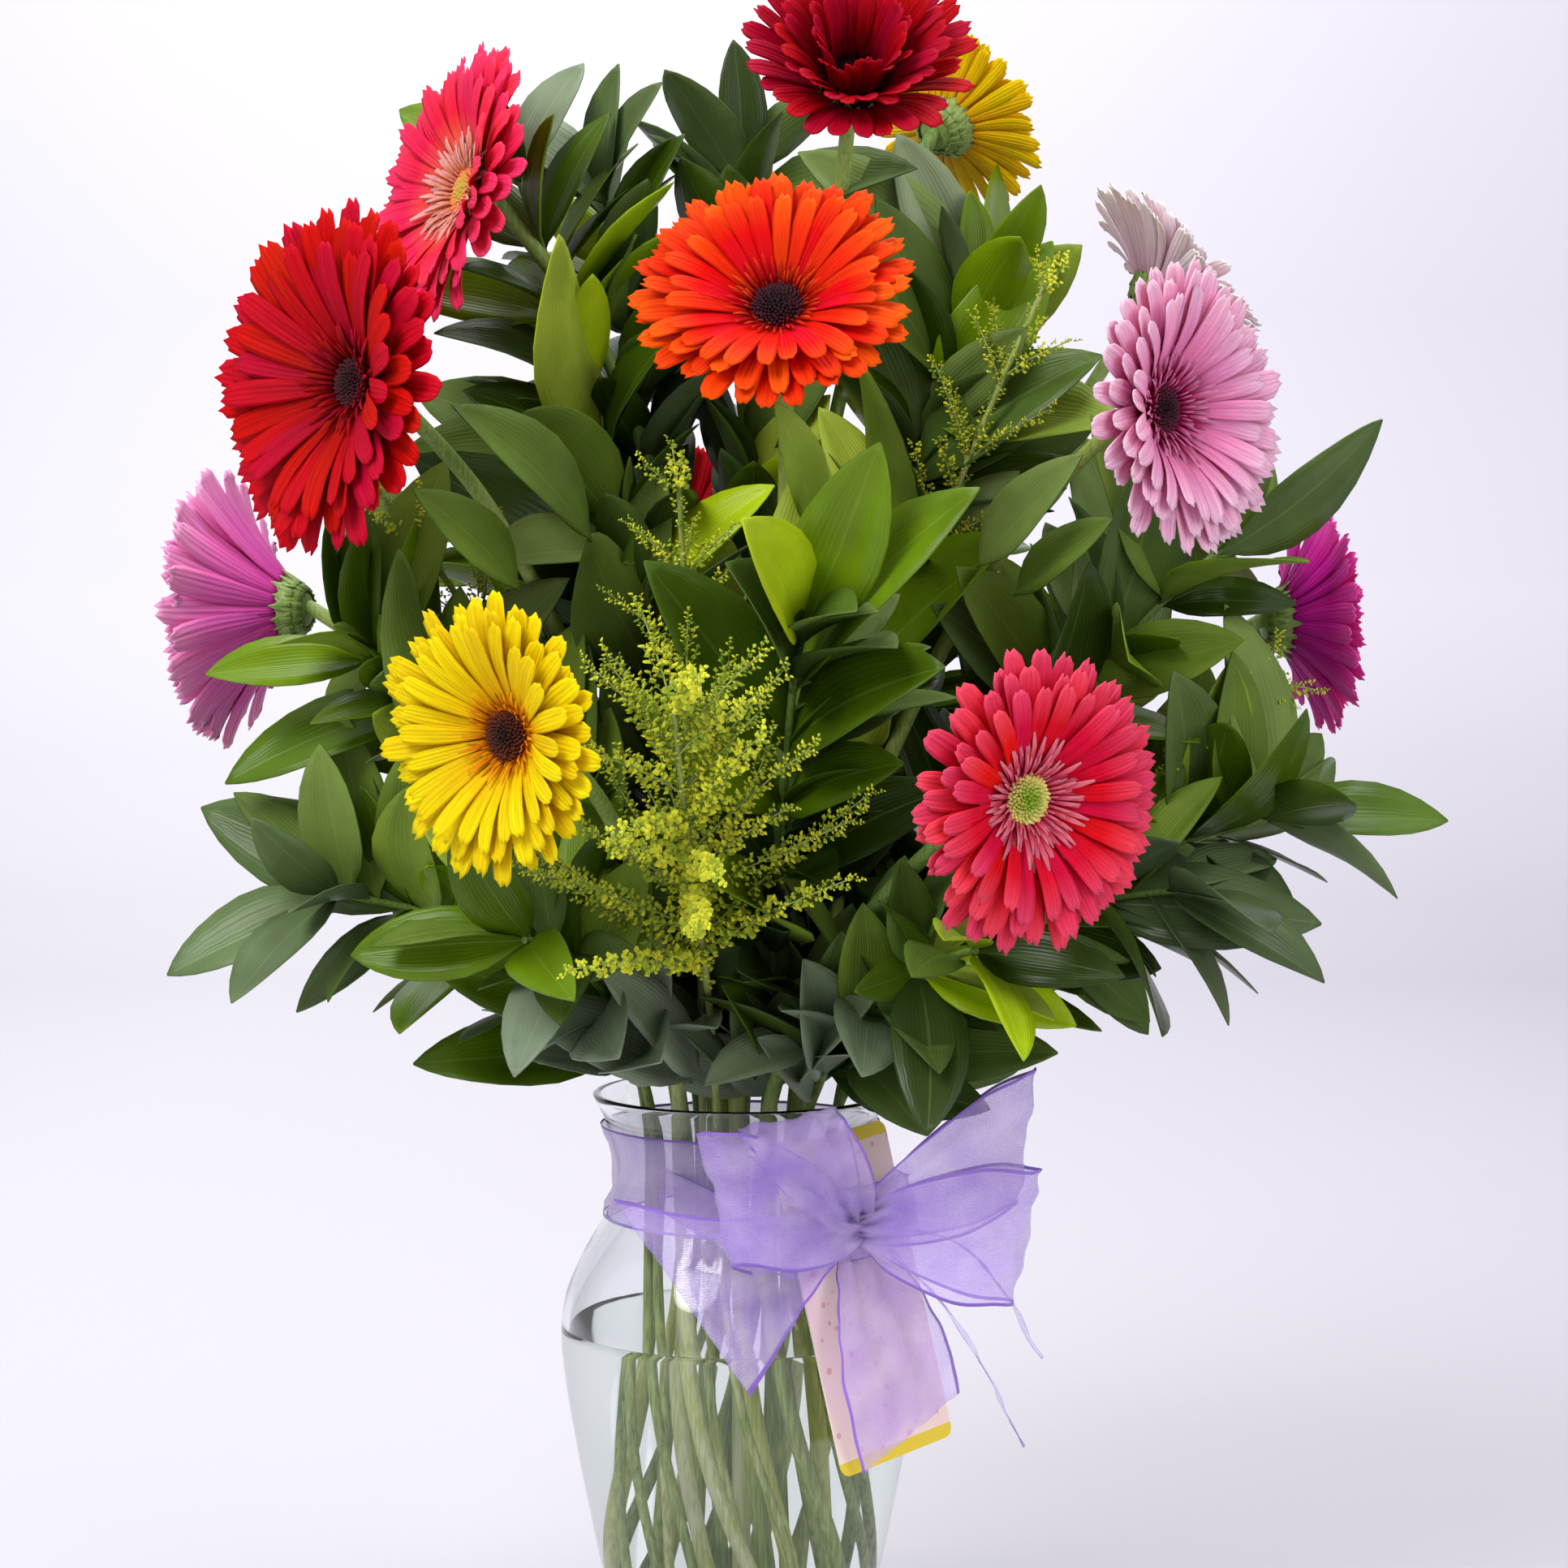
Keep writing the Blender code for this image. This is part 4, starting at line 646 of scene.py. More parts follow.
gerberaSet = {
    # centre, the way it faces (degrees round and up), head radius, cup in degrees,
    # ray petals at root, middle and tip, inner florets (crest) and disc from middle to rim
    "crimson": dict(centre=(0.041, -0.020, 0.605), bearing=5, lift=31, radius=0.047, cup=40, closing=13,
                    petals=("#600014", "#ac001c", "#b60826"), crest=("#2a0006", "#6a0010"), disc=("#1c0305", "#38060d")),
    "yellow_back": dict(centre=(0.079, 0.066, 0.600), bearing=140, lift=30, radius=0.038, cup=18,
                        petals=("#ffa400", "#ffd000", "#ffda10"), crest=("#ffb400", "#ffcc14"), disc=("#3a1408", "#6a2c0c")),
    "orange": dict(centre=(0.014, -0.130, 0.516), bearing=-8, lift=33, radius=0.048, cup=22,
                   petals=("#c80e00", "#f42000", "#fb5400"), crest=("#b01404", "#f03c08"), disc=("#1d0710", "#3c101c")),
    "red_left": dict(centre=(-0.131, -0.090, 0.493), bearing=-46, lift=5, radius=0.060, cup=20,
                     petals=("#8c000c", "#c20018", "#ce0420"), crest=("#7a000e", "#c0081c"), disc=("#26060a", "#46101a")),
    "coral_left": dict(centre=(-0.098, -0.020, 0.565), bearing=-60, lift=15, radius=0.053, cup=16,
                       petals=("#ff7a3c", "#fa1e50", "#ff3c68"), crest=("#fa8a5e", "#ffc4c8"), disc=("#c8b048", "#f08a50"),
                       crested=True),
    "magenta_left": dict(centre=(-0.174, 0.040, 0.414), bearing=-105, lift=0, radius=0.060, cup=38,
                         petals=("#dc24a0", "#ff70c8", "#ffb0e0"), crest=("#98106a", "#dc3ca0"), disc=("#2a0a1c", "#54143c")),
    "yellow_front": dict(centre=(-0.074, -0.150, 0.375), bearing=-38, lift=-3, radius=0.048, cup=22,
                         petals=("#ffac00", "#ffd600", "#ffe008"), crest=("#f08000", "#ffba08"), disc=("#2c0f08", "#5c240c")),
    "coral_front": dict(centre=(0.095, -0.150, 0.354), bearing=33, lift=-5, radius=0.050, cup=17,
                        petals=("#d80028", "#ee0430", "#fb5070"), crest=("#e8385c", "#ff98aa"), disc=("#8cac28", "#e6dc80"),
                        crested=True),
    "pink_right": dict(centre=(0.145, -0.090, 0.484), bearing=46, lift=2, radius=0.051, cup=24,
                       petals=("#dc2078", "#ff98c8", "#ffcee4"), crest=("#b80c5c", "#fa9cca"), disc=("#2a0a18", "#5e1832"),
                       crested=True),
    "pale_back": dict(centre=(0.160, 0.052, 0.534), bearing=100, lift=40, radius=0.047, cup=20,
                      petals=("#e090ac", "#ffdce8", "#ffffff"), crest=("#c4648a", "#f8bcd0"), disc=("#4a1c30", "#80405a")),
    "magenta_right": dict(centre=(0.206, 0.030, 0.410), bearing=100, lift=4, radius=0.046, cup=30,
                          petals=("#b00c84", "#e020a4", "#f45cc0"), crest=("#7c0460", "#c42098"), disc=("#2a0a1c", "#54143c")),
    "red_back": dict(centre=(-0.030, 0.155, 0.430), bearing=172, lift=14, radius=0.052, cup=18,
                     petals=("#8c0010", "#d20820", "#e82438"), crest=("#7a000e", "#c0081c"), disc=("#26060a", "#46101a")),
}
headSet = {
    "petal": (0.050, 0.0110),  # length and width of a ray petal at size 1
    "rootRadius": 0.0105,
    # share of the head's radius, count, lift over the cup, root height and spread of the lift
    "rows": ((1.0, 28, -3.0, -0.0030, 3.0), (0.95, 27, 2.0, -0.0016, 3.0), (0.86, 24, 8.0, -0.0002, 4.0)),
    "crestRows": ((0.36, 36, 24.0), (0.28, 32, 42.0)),
    "longCrestRows": ((0.44, 44, 14.0), (0.36, 40, 24.0), (0.29, 36, 38.0)),
    "discRadius": 0.0084,
    "discCount": 150,
    "calyxLength": 0.0105,
}


# One ray petal along +X: narrow root, full middle, blunt tip with three small teeth, two ridges
def petalSheet(name, length, width, curl, twist, rng):
    outline = ((0.0, 0.26), (0.10, 0.42), (0.28, 0.72), (0.5, 0.93), (0.68, 1.0), (0.84, 0.99), (0.94, 0.86), (1.0, 0.66))
    teeth = (-0.040, 0.010, -0.026, 0.014, -0.044)
    rows = []
    for t, wide in outline:
        row = []
        for k, tooth in enumerate(teeth):
            v = (k - 2) / 2
            x = length * (t + (tooth + rng.uniform(-0.012, 0.012)) * (t > 0.99))
            y = width / 2 * wide * v
            z = 0.045 * length * math.sin(math.pi * t * 0.9) + curl * length * max(t - 0.55, 0) ** 2
            z += width * wide * (0.10 * v * v + (0.045 if k in (1, 3) else 0.0)) + y * twist * t
            row.append(Vector((x, y, z)))
        rows.append(row)
    return sheetOf(name, rows)


# A short strap petal of the inner crest
def crestSheet(name, length, width, curl):
    rows = []
    for t, wide in ((0.0, 0.5), (0.35, 0.9), (0.7, 1.0), (1.0, 0.35)):
        z = 0.08 * length * math.sin(math.pi * t) - curl * length * t * t
        rows.append([Vector((length * t, width / 2 * wide * v, z + width * 0.16 * v * v)) for v in (-1, 0, 1)])
    return sheetOf(name, rows)


# A green bract that lies against the cup
def bractSheet(name, length, width):
    rows = []
    for t, wide in ((0.0, 0.8), (0.3, 1.0), (0.65, 0.75), (1.0, 0.06)):
        rows.append([Vector((length * t, width / 2 * wide * v, -0.0006 * v * v)) for v in (-1, 0, 1)])
    return sheetOf(name, rows)


def kindCollection(name, meshes, thickness):
    made = bpy.data.collections.new(name)
    for mesh in meshes:
        kind = bpy.data.objects.new(mesh.name, mesh)
        made.objects.link(kind)
        addThickness(kind, thickness, 0.0)
    return made


def dropKinds(*collections):
    for collection in collections:
        for kind in list(collection.objects):
            bpy.data.objects.remove(kind, do_unlink=True)
        bpy.data.collections.remove(collection)


# A round bud with a blunt point, some thirty faces
def budMesh(name, points, sides=5):
    shape = bmesh.new()
    rings = [[shape.verts.new((r * math.cos(k * 2 * math.pi / sides), r * math.sin(k * 2 * math.pi / sides), z))
              for k in range(sides)] for r, z in points]
    for low, high in zip(rings, rings[1:]):
        for k in range(sides):
            shape.faces.new((low[k], low[(k + 1) % sides], high[(k + 1) % sides], high[k]))
    shape.faces.new(list(reversed(rings[0])))
    shape.faces.new(rings[-1])
    mesh = bpy.data.meshes.new(name)
    shape.to_mesh(mesh)
    shape.free()
    mesh.polygons.foreach_set("use_smooth", [True] * len(mesh.polygons))
    return mesh


def facingFrame(centre, bearing, lift):
    turn, rise = math.radians(bearing), math.radians(lift)
    out = Vector((math.sin(turn) * math.cos(rise), -math.cos(turn) * math.cos(rise), math.sin(rise)))
    return Matrix.Translation(centre) @ out.to_track_quat("Z", "Y").to_matrix().to_4x4()


# The closed cup that carries petals and disc, with a rounded back
def cupMesh(name, radius, depth):
    profile = [(0.0, -depth), (radius * 0.42, -depth * 0.98), (radius * 0.78, -depth * 0.72),
               (radius * 0.98, -depth * 0.34), (radius, -0.0012), (radius * 0.93, 0.0002), (0.0, 0.0010)]
    line = [Vector((r, 0, z)) for r, z in profile]
    shape = bmesh.new()
    verts = [shape.verts.new(p) for p in line]
    edges = [shape.edges.new(pair) for pair in zip(verts, verts[1:])]
    bmesh.ops.spin(shape, geom=verts + edges, axis=(0, 0, 1), cent=(0, 0, 0), angle=2 * math.pi, steps=28)
    bmesh.ops.remove_doubles(shape, verts=shape.verts, dist=1e-5)
    bmesh.ops.recalc_face_normals(shape, faces=shape.faces)
    mesh = bpy.data.meshes.new(name)
    shape.to_mesh(mesh)
    shape.free()
    mesh.polygons.foreach_set("use_smooth", [True] * len(mesh.polygons))
    return mesh


def makeGerberas():
    rng = random.Random(11)
    length, width = headSet["petal"]
    curls = ((-0.10, 0.05), (-0.26, -0.10), (0.05, 0.14), (-0.16, -0.04), (-0.36, 0.08))
    petals = kindCollection("petalKinds", [
        petalSheet(f"petalKind{k}", length, width * rng.uniform(0.92, 1.06), curl, twist, rng)
        for k, (curl, twist) in enumerate(curls)
    ], 0.0005)
    crests = kindCollection("crestKinds", [
        crestSheet(f"crestKind{k}", 0.020, 0.0024, curl) for k, curl in enumerate((0.10, 0.22, 0.0))
    ], 0.0004)
    bracts = kindCollection("bractKinds", [bractSheet("bractKind0", 0.0125, 0.0042)], 0.0004)
    budObject = bpy.data.objects.new("discBud", budMesh("discBud", (
        (0.00045, -0.0010), (0.00060, 0.0002), (0.00048, 0.0010), (0.00016, 0.0015))))
    whorl, spiral, sweep = petalWhorl(), floretSpiral(), stemSweep()
    green = stemFinish("gerbera_stalk", "#5f7f35", "#9db560", 0.55)
    stalks = [
        stemFinish("gerbera_stalk_pale", "#6c8a38", "#a8bd68", 0.55, ("#c8d260", "#ffffd8")),
        stemFinish("gerbera_stalk_green", "#4c6e28", "#8aa850", 0.55, ("#7c9c2c", "#d8e690")),
        stemFinish("gerbera_stalk_yellow", "#64802c", "#a4b458", 0.55, ("#b4c430", "#f8fa9c")),
    ]
    for number, (name, bloom) in enumerate(gerberaSet.items()):
        place = facingFrame(bloom["centre"], bloom["bearing"], bloom["lift"])
        outer = petalFinish(f"gerbera_petal_{name}", *bloom["petals"])
        inner = petalFinish(f"gerbera_crest_{name}", bloom["crest"][0], bloom["crest"][0], bloom["crest"][1], 0.35)
        velvet = floretFinish(f"gerbera_disc_{name}", *bloom["disc"])
        head = newObject(f"{name}_head", cupMesh(f"{name}_head", 0.0122, headSet["calyxLength"]), green, inner)
        for face in head.data.polygons:
            face.material_index = 1 if face.center.z > -0.0015 else 0
        root = headSet["rootRadius"]
        for row, (share, count, lift, height, spread) in enumerate(headSet["rows"]):
            useGroup(head, whorl, {
                "Petals": petals, "Count": count, "Root radius": root - 0.0006 * row, "Root height": height,
                "Lift": math.radians(bloom["cup"] + lift + row * bloom.get("closing", 0)), "Lift spread": math.radians(spread),
                "Size": (bloom["radius"] * share - root) / length * 1.02, "Size spread": 0.05,
                "First turn": 0.13 * number + row * math.pi / count, "Seed": number * 40 + row * 7, "Finish": outer,
            })
        rows = headSet["longCrestRows"] if bloom.get("crested") else headSet["crestRows"]
        for row, (share, count, lift) in enumerate(rows):
            useGroup(head, whorl, {
                "Petals": crests, "Count": count, "Root radius": 0.0092 - 0.0009 * row, "Root height": 0.0006,
                "Lift": math.radians(bloom["cup"] + lift), "Lift spread": math.radians(6),
                "Size": (bloom["radius"] * share - 0.0092) / 0.020 * 1.1, "Size spread": 0.12,
                "First turn": 0.05 * row, "Seed": number * 40 + 20 + row, "Finish": inner,
            })
        useGroup(head, whorl, {
            "Petals": bracts, "Count": 18, "Root radius": 0.0072, "Root height": -0.0100,
            "Lift": math.radians(56), "Lift spread": math.radians(3), "Size": 1.0, "Size spread": 0.1,
            "First turn": 0.1, "Seed": number * 40 + 30, "Finish": green,
        })
        useGroup(head, whorl, {
            "Petals": bracts, "Count": 18, "Root radius": 0.0100, "Root height": -0.0072,
            "Lift": math.radians(72), "Lift spread": math.radians(3), "Size": 0.8, "Size spread": 0.1,
            "First turn": 0.27, "Seed": number * 40 + 31, "Finish": green,
        })
        settle(head)
        head.data.transform(place)
        disc = newObject(f"{name}_disc", cupMesh(f"{name}_disc", headSet["discRadius"], 0.002), velvet)
        useGroup(disc, spiral, {
            "Bud": budObject, "Count": headSet["discCount"], "Radius": headSet["discRadius"] * 0.97,
            "Height": 0.0016, "Base": 0.0007, "Bud size": 1.25, "Seed": number, "Finish": velvet,
        })
        settle(disc)
        disc.data.transform(place)
        line, _ = readStem(f"gerbera_{name}_stem", 6)
        back = place.to_3x3() @ Vector((0, 0, 1))
        centre = Vector(bloom["centre"])
        line = [(p, r) for p, r in line if (p - centre).length > 0.016]
        line += [(centre - back * 0.0125, line[-1][1]), (centre - back * 0.0070, line[-1][1] * 1.2)]
        stalk = sweptStem(f"{name}_stalk", line, sweep, stalks[number % len(stalks)], 12)
        for piece, node in ((head, "petals"), (disc, "eye"), (stalk, "stem")):
            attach(piece, "root")
            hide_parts(f"gerbera_{name}_{node}")
    dropKinds(petals, crests, bracts)
    bpy.data.objects.remove(budObject, do_unlink=True)
    print("gerberas made")
    return sweep


# ruscus

leafSet = {
    "rows": (0.0, 0.045, 0.12, 0.22, 0.34, 0.48, 0.62, 0.75, 0.86, 0.94, 1.0),
    "widths": (0.045, 0.10, 0.42, 0.74, 0.95, 1.0, 0.93, 0.76, 0.52, 0.27, 0.02),
    "across": 5,
    "halfWidth": 0.205,  # of the length
    "thickness": 0.00045,
    "fillStep": 0.0115,  # one further blade for each such length of stem
    "fillFrom": 0.236,
    "fillLengths": (0.046, 0.068),
    "cell": 12,  # photo pixels in a square of the map of what is covered
    "coverLengths": (0.036, 0.082),
    "coverReach": (0.55, 0.8),  # share of a covering blade at which it crosses the place it covers
    "mostCovering": 420,
    "fold": (6, 22),  # degrees that each half rises
    "wave": 0.012,
    # the greens run from deep shade to new growth
    "greens": ((0.0, "#182604"), (0.25, "#2e4604"), (0.5, "#527206"), (0.68, "#7ea008"), (0.85, "#b0cc0c"), (1.0, "#cce02a")),
    "backGreens": ((0.0, "#36501a"), (0.3, "#526c22"), (0.6, "#7c982c"), (1.0, "#b8cc40")),
    "sage": "#8a9a84",
    "backSage": "#a2ae98",
}
# places in the photograph (1932 pixels wide) whose leaves have a tone of their own: tone and how grey
leafTones = (
    ((663, 98, 735, 200), 0.52, 0.7), ((1100, 170, 1260, 290), 0.5, 0.6), ((751, 108, 880, 220), 0.45, 0.25),
    ((582, 175, 674, 251), 0.30, 0.0), ((690, 283, 773, 347), 0.80, 0.0), ((703, 325, 744, 420), 0.92, 0.0),
    ((693, 427, 849, 490), 0.18, 0.0), ((965, 490, 1050, 700), 0.92, 0.0), ((845, 650, 1000, 720), 0.90, 0.0),
    ((1035, 590, 1200, 760), 0.55, 0.0), ((1140, 640, 1255, 720), 0.42, 0.15), ((925, 730, 1050, 880), 0.45, 0.1),
    ((999, 845, 1053, 883), 0.85, 0.0), ((960, 1003, 1132, 1099), 0.16, 0.0), ((703, 1190, 876, 1324), 0.42, 0.75),
    ((623, 1229, 853, 1347), 0.42, 0.8), ((883, 1286, 994, 1347), 0.42, 0.7), ((983, 1229, 1086, 1344), 0.40, 0.6),
    ((1086, 1225, 1187, 1406), 0.25, 0.05), ((1165, 1147, 1254, 1254), 0.82, 0.0), ((1241, 1196, 1370, 1286), 0.40, 0.0),
    ((1268, 1210, 1478, 1370), 0.40, 0.15), ((1259, 1138, 1451, 1214), 0.20, 0.0), ((1530, 950, 1790, 1050), 0.45, 0.05),
    ((1395, 1040, 1650, 1220), 0.28, 0.2), ((1300, 640, 1500, 760), 0.45, 0.15), ((254, 786, 446, 852), 0.60, 0.0),
    ((300, 840, 450, 990), 0.50, 0.0), ((202, 1048, 461, 1122), 0.40, 0.2), ((298, 1078, 439, 1189), 0.42, 0.35),
    ((428, 1078, 590, 1170), 0.74, 0.0), ((402, 1222, 528, 1263), 0.45, 0.6), ((528, 1152, 639, 1307), 0.50, 0.0),
    ((1190, 240, 1320, 430), 0.62, 0.0), ((620, 440, 820, 640), 0.30, 0.0), ((1100, 420, 1260, 560), 0.42, 0.1),
)


# single blades, over the vase's rim and before bare stalks: root and tip as photo pixels with their depth,
# then tone and how grey
singleBlades = (
    ((852, 1334, -0.045), (629, 1243, -0.078), 0.44, 0.80), ((861, 1326, -0.050), (738, 1195, -0.090), 0.38, 0.75),
    ((1000, 1290, -0.045), (868, 1338, -0.082), 0.36, 0.55), ((985, 1334, -0.042), (1078, 1232, -0.084), 0.38, 0.60),
    ((760, 1322, -0.020), (632, 1300, -0.050), 0.42, 0.70), ((930, 1330, -0.035), (905, 1215, -0.066), 0.16, 0.10),
    ((850, 1310, -0.030), (800, 1205, -0.060), 0.14, 0.10), ((968, 1316, -0.030), (985, 1205, -0.062), 0.14, 0.10),
    ((1030, 1322, -0.030), (1120, 1262, -0.060), 0.22, 0.10), ((900, 1330, -0.046), (830, 1262, -0.070), 0.24, 0.30),
    ((1050, 1300, -0.034), (1142, 1400, -0.076), 0.24, 0.05), ((1000, 660, -0.112), (952, 494, -0.146), 0.66, 0.0),
    ((728, 668, -0.082), (556, 500, -0.116), 0.34, 0.0), ((640, 730, -0.082), (508, 604, -0.112), 0.42, 0.0),
    ((1205, 700, -0.082), (1335, 560, -0.108), 0.46, 0.1), ((1250, 735, -0.080), (1372, 640, -0.104), 0.36, 0.0),
)
# photo pixels inside which the bunch lets no backdrop through
closedPatch = (
    (704, 155), (927, 193), (1120, 203), (1275, 251), (1371, 387), (1381, 580), (1429, 677), (1584, 716),
    (1526, 851), (1584, 967), (1429, 1083), (1429, 1238), (1178, 1322), (888, 1334), (694, 1257), (501, 1160),
    (443, 1044), (346, 890), (366, 774), (501, 658), (559, 484), (617, 348),
)


# Where a place shows in the photograph, from the camera's own place, aim and lens
def photoPlace(place):
    seen = Vector((place.x - cameraSet["place"][0], place.y - cameraSet["place"][1], place.z - cameraSet["place"][2]))
    aim = (Vector(cameraSet["aim"]) - Vector(cameraSet["place"])).normalized()
    right = aim.cross(Vector((0, 0, 1))).normalized()
    up = right.cross(aim)
    scale = cameraSet["lens"] / cameraSet["sensor"] * 1932 / seen.dot(aim)
    return 966 + seen.dot(right) * scale, 966 - seen.dot(up) * scale


# The place that shows at a photo pixel and lies at the given depth
def placeSeen(x, y, depth):
    start = Vector(cameraSet["place"])
    aim = (Vector(cameraSet["aim"]) - start).normalized()
    right = aim.cross(Vector((0, 0, 1))).normalized()
    scale = cameraSet["lens"] / cameraSet["sensor"] * 1932
    ray = aim + right * ((x - 966) / scale) + right.cross(aim) * ((966 - y) / scale)
    return start + ray * ((depth - start.y) / ray.y)


def leafTone(middle, rng):
    x, y = photoPlace(middle)
    # painted shade: blades near the middle of the bunch (but not at its front) and blades lower down get darker tones
    paintedInnerShade = max(0.0, 1 - math.hypot(middle.x - 0.015, middle.y) / 0.11) * (0.30 if middle.y > -0.09 else 0.0)
    tone = 0.50 + rng.gauss(0, 0.11) - paintedInnerShade - max(0.0, 0.32 - middle.z) * 1.2
    sage = max(0.0, rng.gauss(0.0, 0.10))
    if middle.y < 0.05:
        for (x0, y0, x1, y1), spotTone, spotSage in leafTones:
            if x0 < x < x1 and y0 < y < y1:
                tone, sage = spotTone + rng.gauss(0, 0.03), spotSage
    return min(max(tone, 0.02), 0.98), min(max(sage, 0.0), 1.0)


# A blade from its root to its tip, arched along the midrib, folded and a little wavy across
def leafRows(root, tip, side, up, arch, rng):
    length = (tip - root).length
    forward = (tip - root).normalized()
    fold = math.radians(rng.uniform(*leafSet["fold"]))
    wave, phase = leafSet["wave"] * length * rng.uniform(0.3, 1.2), rng.uniform(0, 6.28)
    twist, sweep = rng.uniform(-0.22, 0.22), rng.uniform(-0.03, 0.03) * length
    half = leafSet["halfWidth"] * length * rng.uniform(0.92, 1.06)
    rows = []
    count = leafSet["across"]
    for t, wide in zip(leafSet["rows"], leafSet["widths"]):
        lifted = 4 * arch * t * (1 - t) * (1.15 - 0.3 * t)
        middle = root + forward * (length * t) + up * (lifted * length) + side * (sweep * math.sin(math.pi * t))
        turn = twist * t
        across = side * math.cos(turn) + up * math.sin(turn)
        above = up * math.cos(turn) - side * math.sin(turn)
        row = []
        for k in range(count):
            v = 2 * k / (count - 1) - 1
            out = half * wide * v
            rise = abs(out) * math.tan(fold) * (0.5 + 0.5 * abs(v)) - 0.0006 * wide * (abs(v) < 0.1)
            rise += wave * math.sin(phase + t * 7.5 + (2.0 if v > 0 else 0.0)) * v * v * wide
            row.append(middle + across * out + above * rise)
        rows.append(row)
    return rows


# True where a blade would stand in front of a flower or the goldenrod, or leave the bunch
def inTheWay(place):
    x, y = photoPlace(place)
    for bloom in gerberaSet.values():
        centre, reach = Vector(bloom["centre"]), bloom["radius"]
        away = place - centre
        if away.length < reach * 0.9:
            return True
        bx, by = photoPlace(centre)
        wide = reach * (0.25 + 0.75 * math.cos(math.radians(bloom["bearing"]))) if bloom["lift"] < 20 else reach
        if place.y < centre.y < 0.06 and math.hypot((x - bx) / max(wide, 0.3 * reach), (y - by) / reach) * 0.0003 < 1:
            return True
    if place.y < -0.10 and math.hypot((place.x + 0.012) / 0.056, (place.z - 0.345) / 0.078) < 1:
        return True
    if math.hypot(place.x, place.y) < 0.066 and place.z < 0.246:
        return True
    low, high = cadBox
    return any(not a + 0.004 < c < b - 0.004 for a, c, b in zip(low, place, high)) or place.z < 0.236


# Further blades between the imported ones, so that the bunch closes as the real one does
def fillingLeaves(path, rng):
    length = sum((b - a).length for a, b in zip(path, path[1:]))
    first = next(k for k in range(200) if smoothLine(path, k / 200).z > leafSet["fillFrom"]) / 200
    made = []
    for k in range(int(length * (1 - first) / leafSet["fillStep"])):
        share = first + (0.97 - first) * (k + rng.random()) / int(length * (1 - first) / leafSet["fillStep"])
        root = smoothLine(path, share)
        heading = (smoothLine(path, min(share + 0.02, 1)) - smoothLine(path, share - 0.02)).normalized()
        for attempt in range(6):
            turn = k * goldenAngle + attempt * 1.1 + rng.uniform(-0.4, 0.4)
            sideways = Matrix.Rotation(turn, 3, heading) @ heading.orthogonal().normalized()
            opening = math.radians(rng.uniform(38, 66))
            forward = heading * math.cos(opening) + sideways * math.sin(opening)
            tip = root + forward * rng.uniform(*leafSet["fillLengths"])
            if not any(inTheWay(root.lerp(tip, t)) for t in (0.35, 0.6, 0.8, 1.0)):
                facing = Vector((root.x, root.y, 0)) * 4 + Vector((0, 0, 0.7)) - heading * 0.2
                side = facing.cross(forward).normalized()
                up = forward.cross(side)
                made.append((root, tip, side, up, rng.uniform(0.03, 0.09)))
                break
    return made


def cellOf(place):
    x, y = photoPlace(place)
    return int(x // leafSet["cell"]), int(y // leafSet["cell"])


# Notes the squares of the photograph that a blade hides, with the depth nearest to the camera
def noteBlade(covered, root, tip, side):
    length = (tip - root).length
    for i in range(1, 15):
        t = i / 15
        wide = length * leafSet["halfWidth"] * min(1.0, 4.4 * t * (1.12 - t))
        for k in range(-3, 4):
            place = root.lerp(tip, t) + side * (wide * k / 3)
            cell = cellOf(place)
            covered[cell] = min(covered.get(cell, 9.0), place.y)


def insidePatch(x, y, patch):
    odd = False
    for (x0, y0), (x1, y1) in zip(patch, patch[1:] + patch[:1]):
        if (y0 > y) != (y1 > y) and x < x0 + (x1 - x0) * (y - y0) / (y1 - y0):
            odd = not odd
    return odd


# Places that want a blade before them: bare flower stalks, then open squares of the bunch
def openPlaces(covered, rng):
    wanted = []
    for bloom in gerberaSet:
        line, _ = readStem(f"gerbera_{bloom}_stem", 6)
        path = [p for p, _ in line]
        for k in range(100):
            place = smoothLine(path, k / 100)
            if place.z > 0.25 and (place - path[-1]).length > 0.024:
                wanted.append((rng.random(), place + Vector((0, -0.009, 0)), place.y - 0.003))
    rng.shuffle(wanted)
    size = leafSet["cell"]
    squares = [(i, j) for i in range(25, 135) for j in range(12, 112)
               if insidePatch((i + 0.5) * size, (j + 0.5) * size, closedPatch)]
    rng.shuffle(squares)
    for i, j in squares:
        wanted.append((rng.random(), placeSeen((i + 0.5) * size, (j + 0.5) * size, rng.uniform(-0.06, 0.02)), 8.0))
    return wanted


# Blades that reach from the ruscus stems over whatever still shows between the others
def coveringLeaves(covered, stems, rng):
    roots = []
    for name, path in stems.items():
        for k in range(8, 99):
            root = smoothLine(path, k / 100)
            if root.z > 0.236:
                heading = (smoothLine(path, (k + 1) / 100) - root).normalized()
                roots.append((name, root, heading))
    shortest, longest = leafSet["coverLengths"]
    made = []
    for _, target, depth in openPlaces(covered, rng):
        if covered.get(cellOf(target), 9.0) < depth or len(made) >= leafSet["mostCovering"]:
            continue
        best, blade = 9.0, None
        for (name, root, heading), share in product(roots, leafSet["coverReach"]):
            reach = target - root
            length = reach.length / share
            if not shortest < length < longest:
                continue
            forward = reach.normalized()
            score = abs(length - 0.056) * 12 - 0.5 * forward.dot(heading) - 0.5 * forward.z + rng.random() * 0.5
            if forward.dot(heading) > -0.1 and score < best:
                tip = root + forward * length
                if not any(inTheWay(root.lerp(tip, t)) for t in (0.35, 0.6, 0.8, 1.0)):
                    best, blade = score, (name, root, tip, forward)
        if blade:
            name, root, tip, forward = blade
            facing = Vector((root.x * 3, -1.0 + root.y, 0.45 + rng.uniform(-0.2, 0.3)))
            side = facing.cross(forward).normalized()
            noteBlade(covered, root, tip, side)
            made.append((name, (root, tip, side, forward.cross(side), rng.uniform(0.02, 0.07))))
    print("covering leaves", len(made))
    return made


